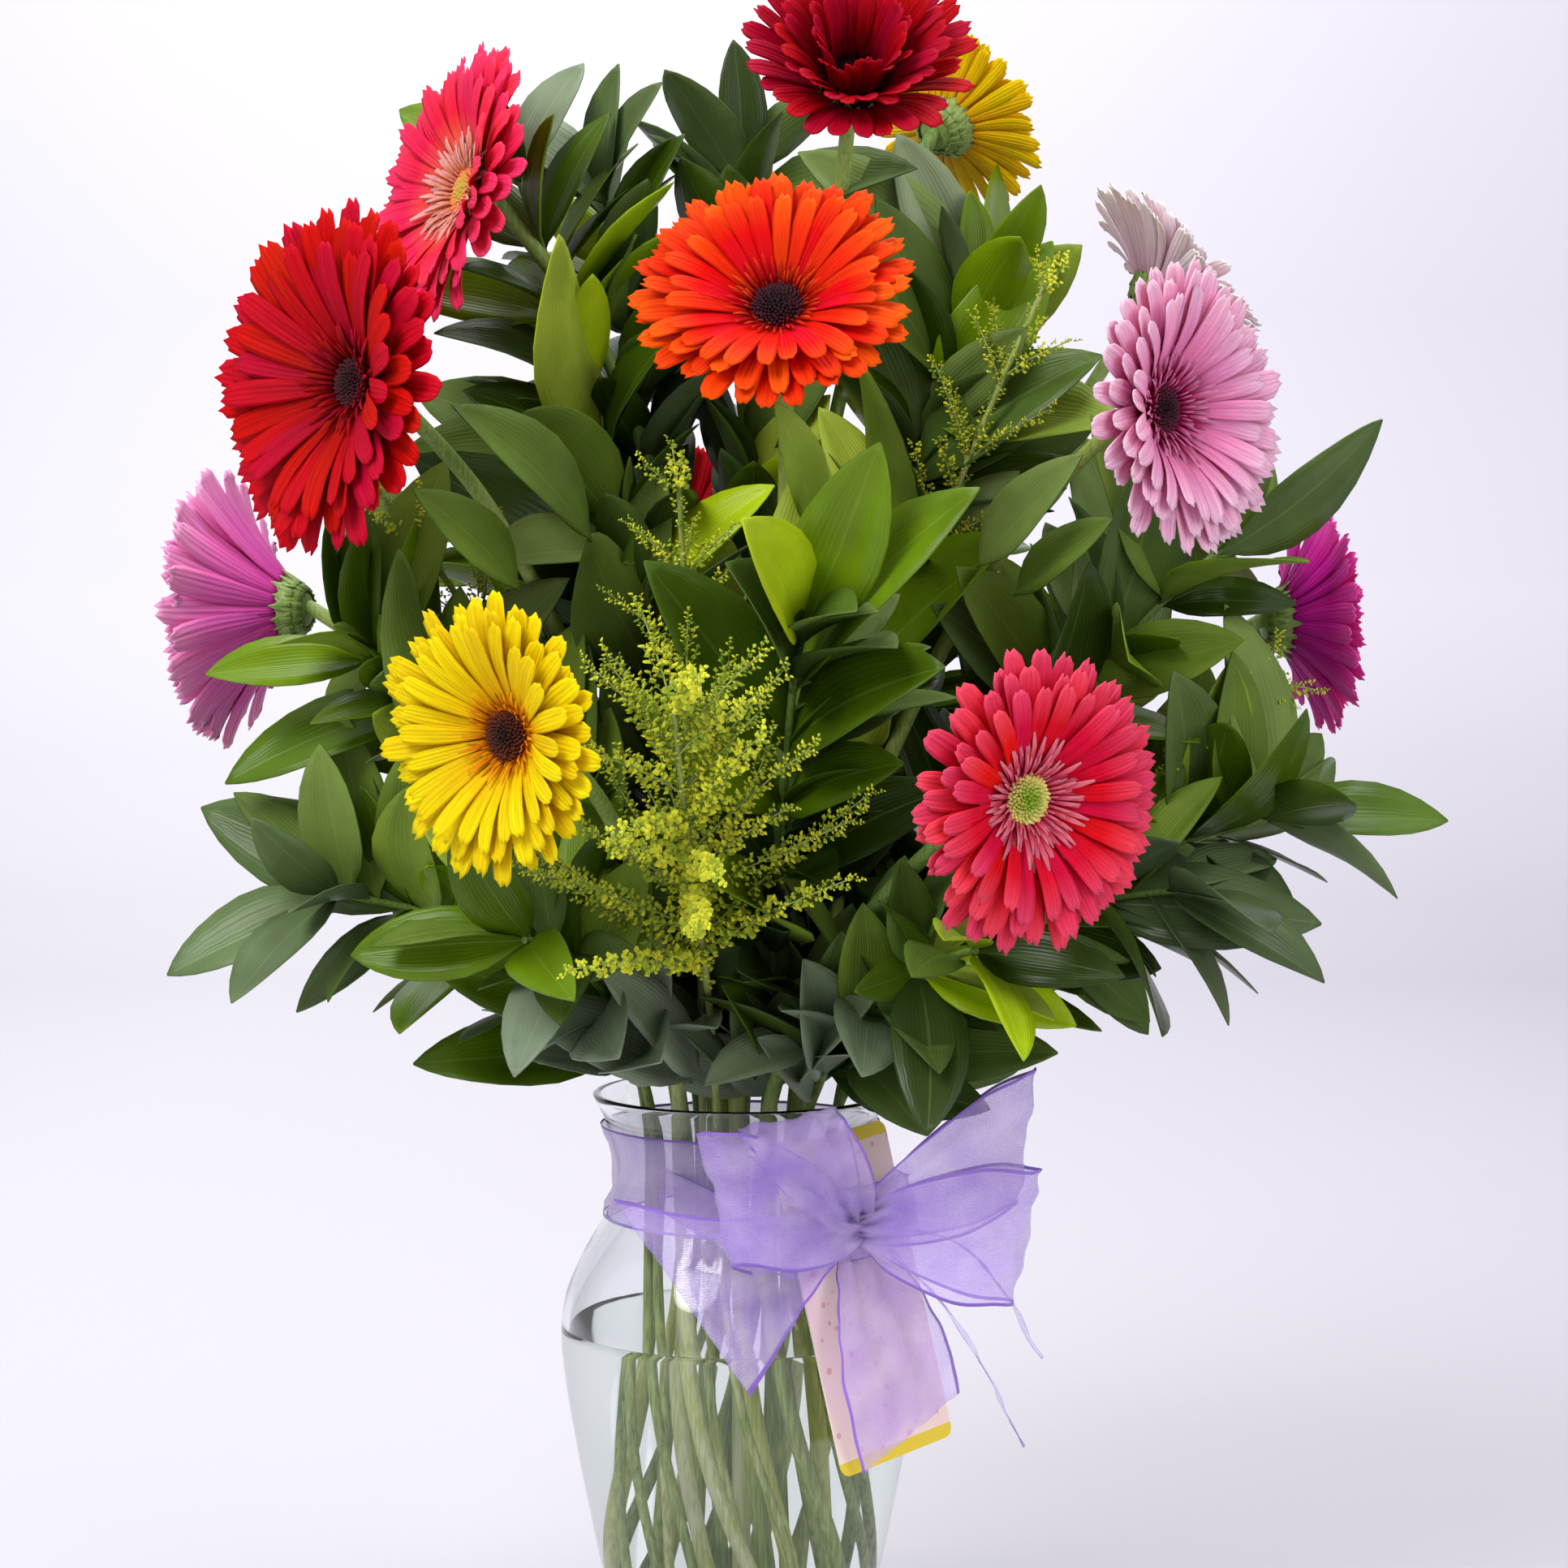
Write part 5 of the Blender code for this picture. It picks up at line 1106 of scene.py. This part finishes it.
def makeLeaves(name, leaves, front, back):
    sheets = [sheetOf("blade", leafRows(*shape)) for shape, _, _ in leaves]
    whole = bmesh.new()
    counts = []
    for sheet in sheets:
        before = len(whole.verts)
        whole.from_mesh(sheet)
        counts.append(len(whole.verts) - before)
        bpy.data.meshes.remove(sheet)
    mesh = bpy.data.meshes.new(name)
    whole.to_mesh(mesh)
    whole.free()
    for label, which in (("tone", 1), ("sage", 2)):
        layer = mesh.attributes.new(label, "FLOAT", "POINT")
        layer.data.foreach_set("value", [leaf[which] for leaf, count in zip(leaves, counts) for _ in range(count)])
    mesh.polygons.foreach_set("use_smooth", [True] * len(mesh.polygons))
    piece = newObject(name, mesh, front, back)
    addThickness(piece, leafSet["thickness"], -1.0, 1)
    return settle(piece)


def noteBlooms(covered):
    for bloom in gerberaSet.values():
        place = facingFrame(bloom["centre"], bloom["bearing"], bloom["lift"])
        # the flower at the back stays hidden behind the leaves
        for ring in range(1, 9 if bloom["centre"][1] < 0.1 else 1):
            reach = bloom["radius"] * 0.85 * ring / 8
            for k in range(24):
                spot = place @ Vector((reach * math.cos(k * math.pi / 12), reach * math.sin(k * math.pi / 12), 0.004))
                cell = cellOf(spot)
                covered[cell] = min(covered.get(cell, 9.0), spot.y)


def makeRuscus(sweep):
    front = leafFinish("ruscus_leaf_face", leafSet["greens"], leafSet["sage"], 0.30, 0.30)
    back = leafFinish("ruscus_leaf_back", leafSet["backGreens"], leafSet["backSage"], 0.55, 0.45)
    bark = stemFinish("ruscus_stem", "#3f6320", "#7f9c45", 0.5, ("#5c7c24", "#c4d47c"))
    rng = random.Random(5)
    stems, leavesOf, covered = {}, {}, {}
    noteBlooms(covered)
    for name in sorted(n for n in nodes if n.startswith("ruscus_")):
        line, grown = readStem(name, 4, 2, 0.008)
        leaves = []
        for tip, rings, corners in grown:
            root = middleOf(corners)
            ring = max(rings, key=lambda places: max((a - b).length for a in places for b in places))
            edges = max(((a, b) for a in ring for b in ring), key=lambda pair: (pair[0] - pair[1]).length)
            keel = next(p for p in ring if p not in edges)
            middle = (edges[0] + edges[1]) / 2
            forward = (tip - root).normalized()
            side = (edges[0] - edges[1]).normalized()
            up = (middle - keel - forward * (middle - keel).dot(forward)).normalized()
            if side.cross(up).dot(forward) > 0:
                side = -side
            onLine = root + (tip - root) * ((middle - root).dot(forward) / (tip - root).length)
            arch = (middle - onLine).dot(up) / (tip - root).length * rng.uniform(0.8, 1.3)
            tone, sage = leafTone(root.lerp(tip, 0.55), rng)
            inward = root - forward * 0.0006
            leaves.append(((inward, tip, side, up, arch, rng), tone, sage))
        for root, tip, side, up, arch in fillingLeaves([p for p, _ in line], rng):
            tone, sage = leafTone(root.lerp(tip, 0.55), rng)
            leaves.append(((root, tip, side, up, arch, rng), tone - 0.05, sage))
        for (root, tip, side, *_), _, _ in leaves:
            noteBlade(covered, root, tip, side)
        stems[name], leavesOf[name] = line, leaves
    paths = {name: [p for p, _ in line] for name, line in stems.items()}
    for name, (root, tip, side, up, arch) in coveringLeaves(covered, paths, rng):
        tone, sage = leafTone(root.lerp(tip, 0.55), rng)
        leavesOf[name].append(((root, tip, side, up, arch, rng), tone, sage))
    for near, far, tone, sage in singleBlades:
        root, tip = placeSeen(*near), placeSeen(*far)
        forward = (tip - root).normalized()
        side = Vector((root.x * 2, -1.0, 0.9)).cross(forward).normalized()
        shape = (root, tip, side, forward.cross(side), 0.06, rng)
        leavesOf["ruscus_front_left" if near[0] < 930 else "ruscus_front_right"].append((shape, tone, sage))
    for name, leaves in leavesOf.items():
        blades = makeLeaves(f"{name}_leaves", leaves, front, back)
        stem = sweptStem(f"{name}_stem", stems[name], sweep, bark, 10)
        for piece in (blades, stem):
            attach(piece, "root")
            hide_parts(name)
    print("ruscus made,", sum(map(len, leavesOf.values())), "leaves")


# goldenrod

goldenrodSet = {
    "spacing": 0.0026,
    "branchlet": 0.010,
    "sizes": {"front": 1.15, "middle": 0.85, "left": 0.9, "right": 0.9, "upper_right": 0.85},
    "extraSprays": {"front": 22, "middle": 8, "left": 8, "right": 8, "upper_right": 8},
    "twig": 0.00045,
}


# A branchlet: a curved twig with a few florets on it
def branchletMesh(name, rng):
    shape = bmesh.new()
    length = goldenrodSet["branchlet"]
    curve = [Vector((math.sin(0.9 * t) * length * 0.55, 0, length * t)) for t in (0.0, 0.5, 1.0)]
    bloom = shape.verts.layers.float.new("bloom")
    rings = []
    for point in curve:
        rings.append([shape.verts.new(point + Vector((0.00022 * math.cos(a), 0.00022 * math.sin(a), 0)))
                      for a in (0.0, 2.1, 4.2)])
    for low, high in zip(rings, rings[1:]):
        for k in range(3):
            shape.faces.new((low[k], low[(k + 1) % 3], high[(k + 1) % 3], high[k]))
    shape.faces.new(list(reversed(rings[0])))
    shape.faces.new(rings[-1])
    for k in range(6):
        share = 0.28 + 0.145 * k
        centre = smoothLine(curve, share)
        turn = k * goldenAngle + rng.uniform(-0.5, 0.5)
        away = 0.0013 if share < 0.95 else 0.0002
        centre = centre + Vector((math.cos(turn) * away, math.sin(turn) * away, 0.0003))
        size = rng.uniform(0.0009, 0.0014)
        tip = shape.verts.new(centre + Vector((math.cos(turn), math.sin(turn), 0.8)).normalized() * size)
        tail = shape.verts.new(centre - Vector((math.cos(turn), math.sin(turn), 0.8)).normalized() * size)
        ring = []
        for a in range(5):
            spin = a * 1.2566
            across = Vector((math.cos(spin + turn), math.sin(spin + turn), 0.35 * math.cos(a * 2.6)))
            ring.append(shape.verts.new(centre + across * size * rng.uniform(0.7, 1.15)))
        for a in range(5):
            shape.faces.new((ring[a], ring[(a + 1) % 5], tip))
            shape.faces.new((ring[(a + 1) % 5], ring[a], tail))
        for vert in (tip, tail, *ring):
            vert[bloom] = 1.0
    mesh = bpy.data.meshes.new(name)
    shape.to_mesh(mesh)
    shape.free()
    return mesh


def makeGoldenrod(sweep):
    rng = random.Random(23)
    tufts = bpy.data.collections.new("branchletKinds")
    for k in range(4):
        tufts.objects.link(bpy.data.objects.new(f"branchletKind{k}", branchletMesh(f"branchletKind{k}", rng)))
    spray = branchletSpray()
    dust = goldenrodFinish("goldenrod_florets", "#6f8a34", "#7f9a26", "#d6d832")
    bark = stemFinish("goldenrod_stem", "#6f8a3a", "#a9b765", 0.6)
    for number, name in enumerate(sorted(n for n in nodes if n.startswith("goldenrod_"))):
        kind = name[len("goldenrod_"):]
        line, grown = readStem(name, 4, 5, 0.0)
        points, edges, bushy, radii = [], [], [], []

        def addLine(places, first, last, radius):
            start = len(points)
            for k, place in enumerate(places):
                t = k / (len(places) - 1)
                points.append(place)
                bushy.append(first + (last - first) * t)
                radii.append(radius * (1 - 0.5 * t))
                if k:
                    edges.append((start + k - 1, start + k))

        sprays = []
        for tip, rings, corners in grown:
            sprays.append([middleOf(corners), *(middleOf(ring) for ring in reversed(rings)), tip])
        longest = max((s[-1] - s[0]).length for s in sprays)
        path = [p for p, _ in line]
        starts = sorted(min(range(1001), key=lambda k: (smoothLine(path, k / 1000) - s[0]).length) / 1000 for s in sprays)
        for k in range(goldenrodSet["extraSprays"][kind]):
            model = rng.choice(sprays)
            share = starts[0] + (1 - starts[0]) * (k + rng.random()) / goldenrodSet["extraSprays"][kind] * 0.95
            root = smoothLine(path, share)
            heading = (smoothLine(path, share + 0.01) - smoothLine(path, share - 0.01)).normalized()
            turn = Matrix.Rotation(rng.uniform(0, 2 * math.pi), 3, heading)
            size = longest * (1 - 0.6 * (share - starts[0]) / (1 - starts[0])) / (model[-1] - model[0]).length
            size *= rng.uniform(0.6, 1.0)
            made = [root + turn @ (p - model[0]) * size for p in model]
            if all((p - c).length > 0.03 for p in made[3:] for c in bloomCentres):
                sprays.append(made)
        for places in sprays:
            addLine(places, 1.0, 0.55, goldenrodSet["twig"])
        from_ = max(starts[0] - 0.02, 0.0)
        addLine([smoothLine(path, from_ + (1 - from_) * k / 8) for k in range(9)], 0.8, 0.6, 0.0)
        mesh = meshOf(f"{name}_sprays", points, [], edges)
        for label, values in (("bushy", bushy), ("stemRadius", radii)):
            mesh.attributes.new(label, "FLOAT", "POINT").data.foreach_set("value", values)
        tufted = newObject(f"{name}_florets", mesh, dust)
        twigs = newObject(f"{name}_twigs", mesh.copy(), bark)
        useGroup(tufted, spray, {
            "Branchlets": tufts, "Spacing": goldenrodSet["spacing"], "Size": goldenrodSet["sizes"][kind],
            "Seed": 100 + number, "Finish": dust,
        })
        useGroup(twigs, sweep, {"Step": 0.006, "Sides": 5, "Finish": bark})
        settle(tufted)
        settle(twigs)
        stem = sweptStem(f"{name}_stem", line, sweep, bark, 8)
        for piece in (tufted, twigs, stem):
            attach(piece, "root")
            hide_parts(name)
    dropKinds(tufts)
    print("goldenrod made")


# card and ribbon

cardSet = {
    "width": 0.058, "length": 0.118, "thickness": 0.0007, "corner": 0.004,
    "bearing": 44, "slope": 0.206, "turn": 6, "topHeight": 0.226, "topRadius": 0.0522,
}
ribbonSet = {
    "thickness": 0.00022,
    "width": 0.050,  # the cut ribbon
    "knotOnCard": 0.027,
    # far end of each loop, half its width there, how far its faces bulge
    "loops": (
        ((0.1020, -0.062, 0.2285), (0.003, 0, 0.0245), 0.012),
        ((0.1010, -0.070, 0.1940), (0.005, 0, 0.0240), 0.011),
        ((-0.0060, -0.096, 0.212), (-0.006, 0, 0.0235), 0.010),
        ((0.0180, -0.084, 0.2370), (0.017, 0.006, 0.003), 0.009),
    ),
    "loopRows": (
        (0.02, 0.0, -0.3), (0.30, 0.55, -0.9), (0.70, 1.0, -1.0), (0.95, 1.0, -0.6), (1.00, 1.0, 0.0),
        (0.95, 1.0, 0.6), (0.70, 1.0, 1.0), (0.30, 0.55, 0.9), (0.02, 0.0, 0.3),
    ),
    "leftTail": (
        ((0.014, -0.077, 0.186), (-0.008, 0, 0.016)), ((-0.004, -0.080, 0.178), (-0.016, 0, 0.026)),
        ((-0.020, -0.077, 0.174), (-0.024, 0.006, 0.034)),
    ),
    "rightTail": (
        ((-0.003, 0.010, 0.009), (0.015, 0.003, 0.001)), ((-0.003, -0.018, 0.012), (0.0245, 0.002, 0.002)),
        ((0.001, -0.051, 0.008), (0.0252, 0.008, 0.003)),
    ),
    # loose threads: where each bends and ends, and half its width
    "threads": (
        ((0.080, -0.070, 0.190), (0.1080, -0.066, 0.150)), ((0.074, -0.072, 0.168), (0.1010, -0.066, 0.118)),
    ),
    "threadHalf": 0.00035,
    "strapHalf": 0.011, "strapRadius": 0.0484, "strapEnds": (-36, 124), "bandHeight": 0.206,
}


def cardFrame():
    bearing, turn = math.radians(cardSet["bearing"]), math.radians(cardSet["turn"])
    across = Vector((math.cos(bearing), math.sin(bearing), 0))
    out = Vector((math.sin(bearing), -math.cos(bearing), 0))
    up = (Vector((0, 0, 1)) - out * cardSet["slope"]).normalized()
    normal = across.cross(up)
    centre = out * cardSet["topRadius"] + Vector((0, 0, cardSet["topHeight"])) - up * cardSet["length"] / 2
    alongCard = up * math.cos(turn) - across * math.sin(turn)
    axes = Matrix((alongCard.cross(normal), alongCard, normal)).transposed()
    return Matrix.Translation(centre) @ axes.to_4x4()


def makeCard():
    # smooth card stock: pinkish cream, a painted yellow band at each end and a few faint printed dots
    paper, tree, shader = newMaterial("card_stock", Roughness=0.6)
    uv = addNode(tree, "ShaderNodeTexCoord").outputs["UV"]
    split = addNode(tree, "ShaderNodeSeparateXYZ", {0: uv})
    end = maths(tree, "ABSOLUTE", maths(tree, "SUBTRACT", split.outputs[1], 0.5))
    endGap = maths(tree, "MULTIPLY_ADD", end, -cardSet["length"] * 1000, cardSet["length"] * 500)
    edge = maths(tree, "LESS_THAN", endGap, 5.0)
    spread = addNode(tree, "ShaderNodeMapping", {"Vector": uv, "Scale": (9.0, 18.0, 1.0)})
    cells = addNode(tree, "ShaderNodeTexVoronoi", {"Vector": spread.outputs[0], "Scale": 1.0, "Randomness": 0.9})
    dot = maths(tree, "LESS_THAN", cells.outputs["Distance"], 0.20)
    field = addNode(tree, "ShaderNodeTexNoise", {"Vector": uv, "Scale": 3.0, "Detail": 2.0})
    cream = colourRamp(tree, field.outputs[0], [(0.35, "#f2dccb"), (0.65, "#f3d3da")])
    pink = addNode(tree, "ShaderNodeRGB").outputs[0]
    pink.default_value = linear("#d8608c")
    yellow = addNode(tree, "ShaderNodeRGB").outputs[0]
    yellow.default_value = linear("#e6cb30")
    face = mixColours(tree, maths(tree, "MULTIPLY", dot, 0.5), cream, pink)
    tree.links.new(mixColours(tree, edge, face, yellow), shader.inputs["Base Color"])
    fibre = addNode(tree, "ShaderNodeTexNoise", {"Vector": uv, "Scale": 260.0, "Detail": 2.0})
    bumped(tree, shader, fibre.outputs[0], 0.1, 0.0002)

    width, length, corner = cardSet["width"], cardSet["length"], cardSet["corner"]
    outline = []
    for cx, cy, start in ((1, 1, 0), (-1, 1, 90), (-1, -1, 180), (1, -1, 270)):
        for step in range(7):
            a = math.radians(start + step * 15)
            outline.append((cx * (width / 2 - corner) + corner * math.cos(a), cy * (length / 2 - corner) + corner * math.sin(a)))
    shape = bmesh.new()
    half = cardSet["thickness"] / 2
    top = [shape.verts.new((x, y, half)) for x, y in outline]
    bottom = [shape.verts.new((x, y, -half)) for x, y in outline]
    shape.faces.new(top)
    shape.faces.new(list(reversed(bottom)))
    for k in range(len(top)):
        n = (k + 1) % len(top)
        shape.faces.new((top[k], bottom[k], bottom[n], top[n]))
    layer = shape.loops.layers.uv.new("UVMap")
    for face in shape.faces:
        for loop in face.loops:
            loop[layer].uv = (loop.vert.co.x / width + 0.5, loop.vert.co.y / length + 0.5)
    mesh = bpy.data.meshes.new("gift_card")
    shape.to_mesh(mesh)
    shape.free()
    mesh.transform(cardFrame())
    card = newObject("gift_card", mesh, paper)
    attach(card, "root")
    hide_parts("card")
    print("card made")
    return card


# Cloth through its stations (a centre and half the width), pleated where it is gathered
def clothRows(stations, count, across, pleats, gathered, rng):
    centres = [Vector(c) for c, _ in stations]
    halves = [Vector(h) for _, h in stations]
    widest = max(h.length for h in halves)
    phase = rng.uniform(0, 6.28)
    rows = []
    for i in range(count):
        share = i / (count - 1)
        centre, half = smoothLine(centres, share), smoothLine(halves, share)
        ahead = smoothLine(centres, share + 0.01) - smoothLine(centres, share - 0.01)
        normal = ahead.cross(half).normalized()
        tight = 1 - half.length / widest
        row = []
        for k in range(across):
            v = 2 * k / (across - 1) - 1
            fold = math.sin(phase + pleats * math.pi * v + 1.3 * math.sin(4 * share + phase))
            crease = noise.noise(Vector((share * 9, v * 3.2, phase)))
            lift = fold * (0.0006 + gathered * tight) + crease * 0.0022
            row.append(centre + half * v + normal * lift)
        rows.append(row)
    return rows


def strapStations(place):
    up = place.to_3x3() @ Vector((0, 1, 0)) * ribbonSet["strapHalf"]
    front = cardSet["thickness"] / 2 + 0.0012
    edge = cardSet["width"] / 2 + 0.0016
    height = ribbonSet["knotOnCard"]
    middle = [(place @ Vector((x, height, front)), up) for x in (-edge, -0.012, 0.010, edge)]
    ends = []
    for degrees in ribbonSet["strapEnds"]:
        a = math.radians(degrees)
        reach = ribbonSet["strapRadius"] + 0.0006
        ends.append((Vector((reach * math.sin(a), -reach * math.cos(a), ribbonSet["bandHeight"])), Vector((0, 0, 0.008))))
    out = [(place @ Vector((s * (edge + 0.004), height, front - 0.004)), up) for s in (-1, 1)]
    return [ends[0], out[0], *middle, out[1], ends[1]]


def bandRows(rng, turns=72, across=9):
    neck = [(r, z) for r, z in smoothProfile(vaseSet["outer"], 74) if 0.188 < z < 0.228]
    rows = []
    for i in range(turns + 1):
        a = 2 * math.pi * i / turns
        row = []
        for k in range(across):
            v = k / (across - 1)
            wander = 0.002 * math.sin(a * 2 + 1.0)
            z = 0.190 + (0.2245 - 0.190) * v + wander * (1 - abs(2 * v - 1))
            r = min(neck, key=lambda p: abs(p[1] - z))[0]
            crease = noise.noise(Vector((math.cos(a) * 2.2, math.sin(a) * 2.2, z * 160)))
            gather = abs(math.sin(z * 420 + 2.2 * math.sin(a * 1.5)))
            row.append(Vector(((r + 0.0011 + 0.0008 * crease + 0.0009 * gather) * math.cos(a),
                               (r + 0.0011 + 0.0008 * crease + 0.0009 * gather) * math.sin(a), z)))
        rows.append(row)
    rows[-1] = [p.copy() for p in rows[0]]
    return rows


def knotRows(place, knot):
    rows = []
    for i in range(25):
        a = 2 * math.pi * i / 24
        row = []
        for k in range(9):
            v = 2 * k / 8 - 1
            squeeze = 1 - 0.30 * v * v
            wrinkle = 1 + 0.10 * math.sin(v * 9 + 1.5 * math.sin(a))
            local = Vector((0.0086 * squeeze * wrinkle * math.cos(a), 0.0125 * v, 0.0064 * squeeze * wrinkle * math.sin(a)))
            row.append(knot + place.to_3x3() @ local)
        rows.append(row)
    rows[-1] = [p.copy() for p in rows[0]]
    return rows


def makeRibbon():
    # nylon organza: sheer open weave, lilac, deeper wherever it lies in layers, with a crisp bound edge
    organza, tree, shader = newMaterial("lilac_organza", Roughness=0.45, Specular_IOR_Level=0.2, Sheen_Weight=0.5, Sheen_Roughness=0.35)
    uv = addNode(tree, "ShaderNodeTexCoord").outputs["UV"]
    split = addNode(tree, "ShaderNodeSeparateXYZ", {0: uv})
    # threads are drawn 0.7 mm apart, twice the real spacing, so that they show
    warp = maths(tree, "SINE", maths(tree, "MULTIPLY", split.outputs[1], 450.0))
    weft = maths(tree, "SINE", maths(tree, "MULTIPLY", split.outputs[0], 9000.0))
    weave = maths(tree, "ADD", maths(tree, "MULTIPLY", warp, 0.5), maths(tree, "MULTIPLY", weft, 0.5))
    edge = maths(tree, "ABSOLUTE", maths(tree, "SUBTRACT", split.outputs[1], 0.5))
    bound = maths(tree, "GREATER_THAN", edge, 0.475)
    cloud = addNode(tree, "ShaderNodeTexNoise", {
        "Vector": addNode(tree, "ShaderNodeTexCoord").outputs["Object"], "Scale": 60.0, "Detail": 3.0,
    })
    lilac = colourRamp(tree, cloud.outputs[0], [(0.3, "#bf9df8"), (0.7, "#e4d0ff")])
    deeper = addNode(tree, "ShaderNodeRGB").outputs[0]
    deeper.default_value = linear("#a07ae0")
    tree.links.new(mixColours(tree, bound, lilac, deeper), shader.inputs["Base Color"])
    cover = maths(tree, "MULTIPLY_ADD", weave, 0.10, 0.30)
    cover = maths(tree, "MAXIMUM", cover, maths(tree, "MULTIPLY", bound, 0.9))
    tree.links.new(cover, shader.inputs["Alpha"])
    bumped(tree, shader, weave, 0.25, 0.0002)

    rng = random.Random(3)
    place = cardFrame()
    knot = place @ Vector((-0.004, ribbonSet["knotOnCard"], 0.0075))
    parts = [bandRows(rng), knotRows(place, knot), clothRows(strapStations(place), 40, 7, 2.0, 0.0006, rng)]
    for far, half, bulge in ribbonSet["loops"]:
        far, half = Vector(far), Vector(half)
        reach = far - knot
        side = half.cross(reach).normalized() * bulge
        gather = half.normalized() * 0.006
        stations = [(knot + reach * s + side * a, gather.lerp(half, w)) for s, w, a in ribbonSet["loopRows"]]
        parts.append(clothRows(stations, 64, 19, 3.5, 0.0028, rng))
    left = [(Vector(c), Vector(h)) for c, h in ribbonSet["leftTail"]]
    right = [(place @ Vector(c), place.to_3x3() @ Vector(h)) for c, h in ribbonSet["rightTail"]]
    parts.append(clothRows([(knot, Vector((0.002, 0, 0.006))), *left], 40, 17, 3.0, 0.0024, rng))
    parts.append(clothRows([(knot, Vector((0.006, 0, 0.002))), *right], 40, 17, 3.0, 0.0020, rng))
    for bend, end in ribbonSet["threads"]:
        stations = [(Vector(c), Vector((0, 0.5, 0.86)) * ribbonSet["threadHalf"]) for c in (knot, bend, end)]
        parts.append(clothRows(stations, 24, 3, 0.0, 0.0, rng))
    whole = bmesh.new()
    for rows in parts:
        sheet = sheetOf("cloth", rows)
        whole.from_mesh(sheet)
        bpy.data.meshes.remove(sheet)
    mesh = bpy.data.meshes.new("organza_ribbon")
    whole.to_mesh(mesh)
    whole.free()
    mesh.polygons.foreach_set("use_smooth", [True] * len(mesh.polygons))
    ribbon = newObject("organza_ribbon", mesh, organza)
    addThickness(ribbon, ribbonSet["thickness"], 0.0)
    settle(ribbon)
    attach(ribbon, "root")
    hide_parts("ribbon")


# studio

cameraSet = {"place": (0.016, -1.33, 0.43), "aim": (0.016, 0.0, 0.35), "lens": 82.76, "sensor": 36.0}
lightSet = (
    # name, place, aim, size, power
    ("keySoftbox", (-1.1, -1.5, 1.9), (0.0, 0.0, 0.38), 1.3, 43.0),
    ("fillSoftbox", (1.6, -1.2, 1.0), (0.0, 0.0, 0.35), 1.4, 13.0),
    ("topSoftbox", (0.2, 0.3, 2.1), (0.0, 0.0, 0.4), 1.2, 18.0),
    ("backdropSoftbox", (-0.1, 1.8, 2.6), (-0.1, 3.2, 0.9), 1.6, 40.0),
)


def makeStudio():
    paper, tree, shader = newMaterial("backdrop_paper", Roughness=0.9)
    place = addNode(tree, "ShaderNodeTexCoord").outputs["Object"]
    # painted shade and painted light on one even sheet of paper: the sweep is darker and greyer towards its right side,
    # and paler where it rises into the wall
    split = addNode(tree, "ShaderNodeSeparateXYZ", {0: place})
    paintedRightShade = addNode(tree, "ShaderNodeMapRange", {"Value": split.outputs[0], "From Min": -0.5, "From Max": 0.8})
    floor = colourRamp(tree, paintedRightShade.outputs[0], [(0.0, "#cecdd3"), (1.0, "#bfbcc5")])
    wall = colourRamp(tree, paintedRightShade.outputs[0], [(0.0, "#dddce2"), (1.0, "#d7d4dd")])
    rise = addNode(tree, "ShaderNodeMapRange", {"Value": split.outputs[2], "From Min": 0.0, "From Max": 0.4})
    tree.links.new(mixColours(tree, rise.outputs[0], floor, wall), shader.inputs["Base Color"])
    # floor and backdrop in one sweep of paper
    line = [(-5.0, 0.0), (2.4, 0.0), (2.7, 0.05), (2.95, 0.2), (3.1, 0.42), (3.18, 0.75), (3.2, 4.0)]
    rows = [[Vector((x, y, z)) for x in (5.0, -5.0)] for y, z in line]
    sweep = newObject("backdrop", sheetOf("backdrop", rows), paper)
    sweep.data.transform(Matrix.Translation((0, 0, -0.0002)))
    for name, place, aim, size, power in lightSet:
        lamp = bpy.data.lights.new(name, "AREA")
        lamp.shape = "DISK"
        lamp.size = size
        lamp.energy = power
        holder = bpy.data.objects.new(name, lamp)
        holder.location = place
        holder.rotation_euler = (Vector(aim) - Vector(place)).to_track_quat("-Z", "Y").to_euler()
        bpy.context.scene.collection.objects.link(holder)
    world = bpy.data.worlds.new("studio")
    bpy.context.scene.world = world
    world.use_nodes = True
    background = world.node_tree.nodes["Background"]
    background.inputs["Color"].default_value = linear("#f7f4f8")
    background.inputs["Strength"].default_value = 0.66
    camera = bpy.data.cameras.new("camera")
    camera.lens = cameraSet["lens"]
    camera.sensor_width = cameraSet["sensor"]
    camera.clip_end = 20
    holder = bpy.data.objects.new("camera", camera)
    holder.location = cameraSet["place"]
    holder.rotation_euler = (Vector(cameraSet["aim"]) - Vector(cameraSet["place"])).to_track_quat("-Z", "Y").to_euler()
    bpy.context.scene.collection.objects.link(holder)
    bpy.context.scene.camera = holder
    bpy.context.scene.view_settings.view_transform = "Standard"
    print("studio set")


bloomCentres = [Vector(bloom["centre"]) for bloom in gerberaSet.values()]
makeStudio()
vase = makeVase()
sweep = makeGerberas()
makeRuscus(sweep)
makeGoldenrod(sweep)
card = makeCard()
makeRibbon()
